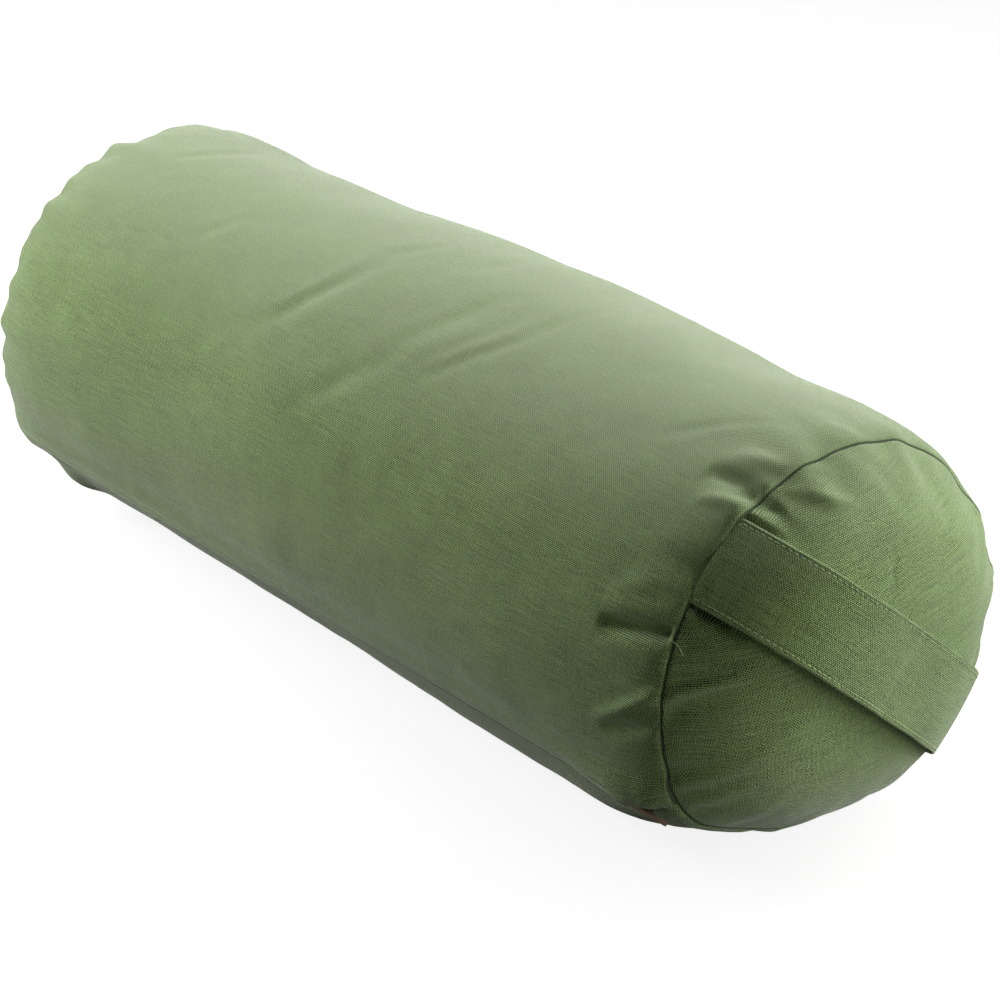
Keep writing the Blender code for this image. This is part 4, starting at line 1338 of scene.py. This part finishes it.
def make_loose_end(thread):
    """The cut end of the seam's sewing thread, which stands out of the near end seam below the handle."""
    path = []
    for y, z, proud in LOOSE_END:
        share = hypot(y, z) / LOOSE_END_SEAM
        ahead = float(panel_x(share)) + LOOSE_END_PROUD + proud / 1000
        path.append((ahead, y / 1000, float(PANEL_CENTRE[2]) + z / 1000))
    path = np.array(path)
    sides = 8
    bm, grid = grid_mesh(len(path), sides + 1)
    ahead = unit(np.gradient(path, axis=0))
    across = unit(np.cross(ahead, (1.0, 0.0, 0.0)))
    upright = np.cross(across, ahead)
    angles = np.arange(sides + 1) % sides * 2 * pi / sides
    points = [at + THREAD_RADIUS * (np.cos(angles)[:, None] * a + np.sin(angles)[:, None] * u)
              for at, a, u in zip(path, across, upright)]
    place_grid(grid, points)
    join_round(bm, grid)
    close_ends(bm)
    bmesh.ops.recalc_face_normals(bm, faces=bm.faces)
    piece = make_piece("loose_thread_end", bm, thread, "cushion")
    smooth_out = piece.modifiers.new("Round", 'SUBSURF')
    smooth_out.levels = smooth_out.render_levels = 1


# Carry handle

def seam_reach(aside, direction):
    """Distance along the handle from the panel's centre to the seam, at a distance to its side."""
    low, high = 0.0, 2 * HALF_WIDTH
    for _ in range(40):
        middle = (low + high) / 2
        point = PANEL_CENTRE + direction * middle * HANDLE_ALONG + aside * HANDLE_ACROSS
        side, up = point[1], point[2] - AXIS_Z - SEAM_LIFT
        power = 2.0 if up >= 0 else BOTTOM_SQUARENESS
        height = (TOP_HEIGHT if up >= 0 else BOTTOM_DEPTH) * SEAM_RADIUS / HALF_WIDTH
        if abs(side / SEAM_RADIUS) ** power + abs(up / height) ** power < 1:
            low = middle
        else:
            high = middle
    return low


class Strap:
    """Places points on the handle: progress from its upper end to its lower, aside and rise in metres."""

    def __init__(self, settings, steps=160):
        self.settings = settings
        self.shares = np.sin(np.linspace(-1, 1, steps + 1) * pi / 2)
        self.lines = {}
        self.lengths = running_length(self.line(0.0))

    def line(self, aside):
        """Middle line of the strap at a distance to its side, from seam to seam."""
        key = round(aside, 6)
        if key not in self.lines:
            self.lines[key] = self.make_line(aside)
        return self.lines[key]

    def make_line(self, aside):
        settings = self.settings
        proud = CANVAS / 2 + HANDLE_REST_GAP * np.where(self.shares > 0, 0.4, 1.0) + settings.thickness / 2
        reach = np.where(self.shares < 0, seam_reach(aside, -1), seam_reach(aside, 1))
        share = np.abs(self.shares)
        slope = DOME_HEIGHT * DOME_POWER * share ** (DOME_POWER - 1) / reach
        steep = np.hypot(slope, 1)
        progress = (self.shares + 1) / 2
        stand = proud + settings.bow * np.sin(pi * progress ** settings.bow_skew) ** settings.bow_fall
        flat = (self.shares * reach)[:, None] * HANDLE_ALONG + aside * HANDLE_ACROSS
        stand += panel_trim(flat[:, 1:] * 1000)
        stand = stand * (1 - fade_in(share, *STRAP_SINKS_FROM))
        outward = stand * slope / steep * np.sign(self.shares)
        along = self.shares * reach + outward
        ahead = panel_x(share) + stand / steep - STRAP_END_DEPTH * fade_in(share, *STRAP_DIVES_FROM)
        points = PANEL_CENTRE + along[:, None] * HANDLE_ALONG + aside * HANDLE_ACROSS
        points[:, 0] = ahead
        return points

    def surface(self, asides, rises):
        """Rows along the strap of points across it, for lists of asides and rises above its middle."""
        lines = np.stack([self.line(aside) for aside in asides], axis=1)
        normal = np.cross(HANDLE_ACROSS, unit(np.gradient(lines, axis=0)))
        normal = unit(normal * np.sign(normal[:, :, :1].mean()))
        return lines + normal * np.asarray(rises)[None, :, None], normal


def make_strap(settings, canvas):
    """The doubled canvas strap: rounded edges, a dimple under each row of stitches, ends in the seam."""
    strap = Strap(settings)
    half, thick = settings.width / 2, settings.thickness / 2
    radius = thick * 0.96
    face = np.linspace(half - radius, -half + radius, 61)
    from_edge = half - np.abs(face)
    dip = STRAP_STITCH_DIP * np.exp(-((from_edge - settings.stitch_inset) / STRAP_STITCH_DIP_REACH) ** 2)
    from_puff = from_edge - settings.stitch_inset * 0.45
    puff = STRAP_EDGE_PUFF * np.exp(-(from_puff / STRAP_EDGE_PUFF_REACH) ** 2)
    top = [(aside, thick + p - d) for aside, p, d in zip(face, puff, dip)]
    turn = [pi / 2 - pi * k / 6 for k in range(1, 6)]
    near = [(-half + radius - radius * cos(angle), thick * sin(angle)) for angle in turn]
    under = [(aside, -thick + d - p) for aside, p, d in zip(face[::-1], puff[::-1], dip[::-1])][::4]
    far = [(half - radius + radius * cos(angle), thick * sin(angle)) for angle in turn[::-1]]
    loop = top + near + under + far
    loop.append(loop[0])
    asides, rises = np.array(loop).T
    points, _ = strap.surface(asides, rises)
    bm, grid = grid_mesh(points.shape[0], points.shape[1])
    wave = STRAP_WAVE * np.sin(strap.lengths * 2 * pi / STRAP_WAVE_LENGTH + 0.7)
    points += wave[:, None, None] * HANDLE_ACROSS * np.sign(asides)[None, :, None]
    place_grid(grid, points)
    around = np.where(rises > -thick * 0.5, asides, 0.1 - asides)
    set_weave_map(bm, grid, strap.lengths[:, None], around[None])
    set_seam_distance(bm, grid, np.minimum(strap.lengths, strap.lengths[-1] - strap.lengths))
    join_round(bm, grid)
    close_ends(bm)
    bmesh.ops.recalc_face_normals(bm, faces=bm.faces)
    piece = make_piece("handle_strap", bm, canvas, "cushion")
    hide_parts("carry_handle")
    return strap


def stitch_shape(length, thickness):
    """One stitch as a mesh: a closed capsule along +X with its middle at the origin."""
    bm = bmesh.new()
    bmesh.ops.create_uvsphere(bm, u_segments=6, v_segments=6, radius=0.5)
    bmesh.ops.rotate(bm, verts=bm.verts, cent=(0, 0, 0), matrix=Matrix.Rotation(pi / 2, 3, 'Y'))
    for vert in bm.verts:
        x, y, z = vert.co
        arch = 1 - 4 * x * x
        vert.co = (x * length, y * thickness, z * thickness * 0.8 + 0.28 * thickness * arch)
    return finished_mesh("stitch shape", bm)


def along_line(lengths, points, at):
    """The point at a length along a line of points."""
    return np.array([np.interp(at, lengths, points[:, k]) for k in range(3)])


def make_stitches(name, rows, settings, thread, jitter_seed):
    """Stitches along rows of (points, normals), one mesh, each stitch a small capsule."""
    shape = stitch_shape(settings.stitch_length, STITCH_THICKNESS)
    rng = np.random.default_rng(jitter_seed)
    bm = bmesh.new()
    pitch = settings.stitch_length * STITCH_SPACING
    for points, normals in rows:
        lengths = running_length(points)
        for distance in np.arange(pitch * 0.6, lengths[-1] - pitch * 0.5, pitch):
            at = along_line(lengths, points, distance)
            ahead = along_line(lengths, points, distance + pitch / 2)
            behind = along_line(lengths, points, distance - pitch / 2)
            normal = Vector(along_line(lengths, normals, distance)).normalized()
            heading = Vector(ahead - behind).normalized()
            across = normal.cross(heading).normalized()
            heading = (heading + across * rng.normal(0, 0.05)).normalized()
            across = normal.cross(heading).normalized()
            place = Matrix((heading, across, normal)).transposed().to_4x4()
            place.translation = Vector(at)
            before = len(bm.verts)
            bm.from_mesh(shape)
            bm.verts.ensure_lookup_table()
            bmesh.ops.transform(bm, matrix=place, verts=bm.verts[before:])
    bpy.data.meshes.remove(shape)
    piece = make_piece(name, bm, thread, "cushion")


class BOLSTER_OT_handle(bpy.types.Operator):
    """Make the carry handle and its two rows of topstitching"""
    bl_idname = "bolster.handle"
    bl_label = "Carry handle"

    def execute(self, context):
        settings = context.scene.bolster_handle
        cloth = context.scene.bolster_cloth
        canvas = canvas_material("Green strap canvas", cloth)
        thread = thread_material(cloth.stitch_colour)
        strap = make_strap(settings, canvas)
        rows = []
        for side in (-1, 1):
            aside = side * (settings.width / 2 - settings.stitch_inset)
            for face in (1, -1):
                rise = face * (settings.thickness / 2 - STITCH_SINK)
                points, normals = strap.surface([aside], [rise])
                rows.append((points[6:-6, 0], normals[6:-6, 0] * face))
        make_stitches("handle_stitches", rows, settings, thread, 3)
        return {'FINISHED'}


# Zip

def lap_stitch_row(stuffing, depth_scale):
    """Points and normals along the row of stitches that holds the folded lap."""
    x = np.linspace(-SEAM_X + 0.006, SEAM_X - 0.006, 400)
    phi = np.full(len(x), ZIP_ANGLE + LAP_STITCH / ZIP_ARM)
    rise = (LAP_OUTER - LAP_STITCH_DENT) * lap_settle(x) + CANVAS / 2
    points = body_points(x, phi, np.zeros(len(x)), rise, stuffing, depth_scale)
    return points, np.repeat([ZIP_OUT], len(x), 0)


def bevelled_copy(node, name, width, material, body):
    """A copy of a metal node with its edges rounded, which stands for the node."""
    bm = bmesh.new()
    bm.from_mesh(bpy.data.objects[node].data)
    bmesh.ops.dissolve_limit(bm, angle_limit=radians(1), verts=bm.verts, edges=bm.edges)
    sharp = [edge for edge in bm.edges if edge.is_manifold and edge.calc_face_angle() > radians(25)]
    bmesh.ops.bevel(bm, geom=sharp, offset=width, offset_type='OFFSET', segments=3, profile=0.5,
                    affect='EDGES', clamp_overlap=True, material=-1)
    bmesh.ops.triangulate(bm, faces=[face for face in bm.faces if len(face.verts) > 4])
    piece = make_piece(name, bm, material, body)
    piece.data.set_sharp_from_angle(angle=radians(50))
    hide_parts(node)


class BOLSTER_OT_zip(bpy.types.Operator):
    """Finish the zip: tapes, teeth and stops keep their form, slider and pull tab get rounded edges"""
    bl_idname = "bolster.zip"
    bl_label = "Zip"

    def execute(self, context):
        cloth = context.scene.bolster_cloth
        brass = old_brass()
        tape = tape_cloth(cloth.tape_colour)
        for node in ("zip_tape_upper", "zip_tape_lower"):
            set_material(node, tape)
        for node in ("zip_teeth_upper", "zip_teeth_lower", "zip_top_stop_upper", "zip_top_stop_lower",
                     "zip_bottom_stop"):
            set_material(node, brass)
        bevelled_copy("zip_slider", "slider_body", SLIDER_BEVEL, brass, "slider")
        bevelled_copy("zip_pull_tab", "pull_tab", TAB_BEVEL, brass, "pull_tab")
        return {'FINISHED'}


def set_material(node, material):
    thing = bpy.data.objects[node]
    for slot in thing.material_slots:
        slot.material = material


# Inner bag and filling

def inner_points(x, phi, extra, puckers):
    """Where the inner bag or the filling lies under the cover."""
    rounding = np.clip((np.abs(x) - ZIP_HALF) / (LINER_SEAM_X - ZIP_HALF), 0, 1)
    inset = LINER_GAP + LINER_ZIP_DENT * zip_share(phi) + LINER_END_ROUND * rounding + extra
    inset = inset + INNER_SLACK - np.minimum(body_relief(x, phi, 1.0), 0)
    near = np.clip((np.abs(x) - 0.16) / (LINER_SEAM_X - 0.16), 0, 1)
    inset = inset + puckers * near ** 3 * (1 + np.sin(31 * phi + 2 * np.sin(4 * phi)))
    inset = inset + 0.35 * puckers * (1 + lumps(skin(x, phi), 0.035, 23))
    return skin(x, phi, inset)


def make_stuffed_form(name, extra, puckers, start_x, crown_x, material, nodes):
    """A closed form of the inner bag or the filling: rows along the body and a dome on each end."""
    columns, rows = 128, 72
    phis = np.linspace(0, 2 * pi, columns + 1)
    stations = start_x * np.sin(np.linspace(-1, 1, rows) * pi / 2)
    tube = [inner_points(np.full(columns + 1, x), phis, extra, puckers) for x in stations]
    shares = np.linspace(0.97, 0.03, 14)

    def dome(rim, side):
        rings = []
        for share in shares:
            flat = PANEL_CENTRE + (rim - PANEL_CENTRE) * share
            flat[:, 0] = side * (start_x + (crown_x - start_x) * (1 - share ** DOME_POWER))
            rings.append(flat)
        return rings

    points = np.array(dome(tube[0], -1)[::-1] + tube + dome(tube[-1], 1))
    points[:, -1] = points[:, 0]
    bm, grid = grid_mesh(len(points), columns + 1)
    place_grid(grid, points)
    set_weave_map(bm, grid, running_length(points)[:, None], (phis * MEAN_RADIUS)[None])
    join_round(bm, grid)
    close_ends(bm)
    bmesh.ops.poke(bm, faces=[face for face in bm.faces if len(face.verts) > 4])
    bmesh.ops.recalc_face_normals(bm, faces=bm.faces)
    piece = make_piece(name, bm, material, "cushion")
    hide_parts(*nodes)


class BOLSTER_OT_filling(bpy.types.Operator):
    """Make the calico inner bag and the packed fibre inside it"""
    bl_idname = "bolster.filling"
    bl_label = "Inner bag and filling"

    def execute(self, context):
        cloth = context.scene.bolster_cloth
        calico = woven("Natural calico", cloth.calico_colour, 0.00042, 0.00046, 0.00006, 0.2, fuzz=0.5)
        fibre = fibre_material(cloth.fibre_colour)
        crown = float(panel_x(0.0)) - LINER_DOME_GAP
        liner = ("liner_body", "liner_end_near", "liner_end_far")
        make_stuffed_form("inner_bag", 0.0, 0.0006, LINER_SEAM_X, crown, calico, liner)
        make_stuffed_form("filling", CALICO + FILL_GAP, 0.0006, LINER_SEAM_X - FILL_GAP,
                          crown - CALICO - FILL_GAP, fibre, ("fill_core",))
        return {'FINISHED'}


# Stage

class BOLSTER_OT_stage(bpy.types.Operator):
    """Set the floor, the plain studio light and the camera"""
    bl_idname = "bolster.stage"
    bl_label = "Stage"

    def execute(self, context):
        settings = context.scene.bolster_stage
        scene = context.scene
        scene.view_settings.view_transform = 'Standard'
        make_floor()
        for name, place, size in LAMPS:
            make_lamp(name + "_lamp", place, size, getattr(settings, name + "_strength"))
        make_world(settings.sky_strength)
        make_camera(scene)
        return {'FINISHED'}


def background_rays(tree):
    """1 for the rays that see the background as it is: the camera's, off metal and through glass."""
    rays = add_node(tree, "ShaderNodeLightPath").outputs
    seen = rays["Is Camera Ray"]
    for kind in ("Is Glossy Ray", "Is Transmission Ray"):
        seen = add_node(tree, "ShaderNodeMath", {"operation": 'MAXIMUM'}, i0=seen, i1=rays[kind]).outputs[0]
    return seen


def make_floor():
    """A wide pale floor that shows white to the camera and keeps a soft shadow."""
    bm = bmesh.new()
    bmesh.ops.create_grid(bm, x_segments=1, y_segments=1, size=FLOOR_HALF)
    mesh = finished_mesh("floor", bm)
    floor = add_object("floor", mesh)
    material = bpy.data.materials.new("Pale floor")
    material.use_nodes = True
    tree = material.node_tree
    tree.nodes.clear()
    ground = add_node(tree, "ShaderNodeBsdfDiffuse", Color=(0.30, 0.30, 0.30, 1)).outputs[0]
    bounced = add_node(tree, "ShaderNodeBsdfDiffuse", Color=(0.20, 0.20, 0.20, 1)).outputs[0]
    shown = add_node(tree, "ShaderNodeEmission", Color=(1, 1, 1, 1), Strength=0.86).outputs[0]
    lit = add_node(tree, "ShaderNodeAddShader", i0=ground, i1=shown).outputs[0]
    show(tree, "ShaderNodeOutputMaterial", bounced, lit)
    mesh.materials.append(material)


def show(tree, kind, bounced, seen):
    """Shows one shader to the background rays and another to the light that bounces."""
    choose = add_node(tree, "ShaderNodeMixShader", i0=background_rays(tree), i1=bounced, i2=seen)
    add_node(tree, kind, Surface=choose.outputs[0])


def make_lamp(name, place, size, strength):
    data = bpy.data.lights.new(name, 'AREA')
    data.shape = 'RECTANGLE'
    data.size, data.size_y = size
    data.energy = strength
    lamp = add_object(name, data)
    lamp.location = place
    lamp.rotation_euler = (Vector(LAMP_TARGET) - Vector(place)).to_track_quat('-Z', 'Y').to_euler()


def make_world(strength):
    world = bpy.data.worlds.new("Studio")
    bpy.context.scene.world = world
    world.use_nodes = True
    tree = world.node_tree
    tree.nodes.clear()
    soft = add_node(tree, "ShaderNodeBackground", Color=(1, 1, 1, 1), Strength=strength).outputs[0]
    white = add_node(tree, "ShaderNodeBackground", Color=(1, 1, 1, 1), Strength=1.0).outputs[0]
    show(tree, "ShaderNodeOutputWorld", soft, white)


def make_camera(scene):
    """The camera that sees the bolster from the photograph's angle."""
    data = bpy.data.cameras.new("camera")
    data.sensor_width = 36
    data.lens = CAMERA_LENS
    data.clip_end = 30
    camera = add_object("camera", data)
    turn = Matrix((CAMERA_RIGHT, CAMERA_UP, CAMERA_BACK)).transposed().to_4x4()
    camera.matrix_world = Matrix.Translation(CAMERA_PLACE) @ turn
    scene.camera = camera


class BOLSTER_PT_panel(bpy.types.Panel):
    """Lists the bolster's pieces and their settings"""
    bl_idname = "BOLSTER_PT_panel"
    bl_label = "Bolster"
    bl_space_type = 'VIEW_3D'
    bl_region_type = 'UI'
    bl_category = "Bolster"

    def draw(self, context):
        layout = self.layout
        for operator in OPERATORS:
            layout.operator(operator.bl_idname)
        for group in SETTINGS:
            settings = getattr(context.scene, group)
            box = layout.box()
            for name in settings.bl_rna.properties.keys():
                if name not in ("rna_type", "name"):
                    box.prop(settings, name)


OPERATORS = (BOLSTER_OT_stage, BOLSTER_OT_cover, BOLSTER_OT_handle, BOLSTER_OT_zip, BOLSTER_OT_filling)
SETTINGS = {
    "bolster_cloth": BolsterCloth,
    "bolster_cover": BolsterCover,
    "bolster_handle": BolsterHandle,
    "bolster_stage": BolsterStage,
}
CLASSES = tuple(SETTINGS.values()) + OPERATORS + (BOLSTER_PT_panel,)


def register():
    for item in CLASSES:
        bpy.utils.register_class(item)
    for name, group in SETTINGS.items():
        setattr(bpy.types.Scene, name, PointerProperty(type=group))


def unregister():
    for name in SETTINGS:
        delattr(bpy.types.Scene, name)
    for item in reversed(CLASSES):
        bpy.utils.unregister_class(item)


def main():
    register()
    bpy.ops.bolster.stage()
    bpy.ops.bolster.cover()
    bpy.ops.bolster.handle()
    bpy.ops.bolster.zip()
    bpy.ops.bolster.filling()


if __name__ == "__main__":
    main()
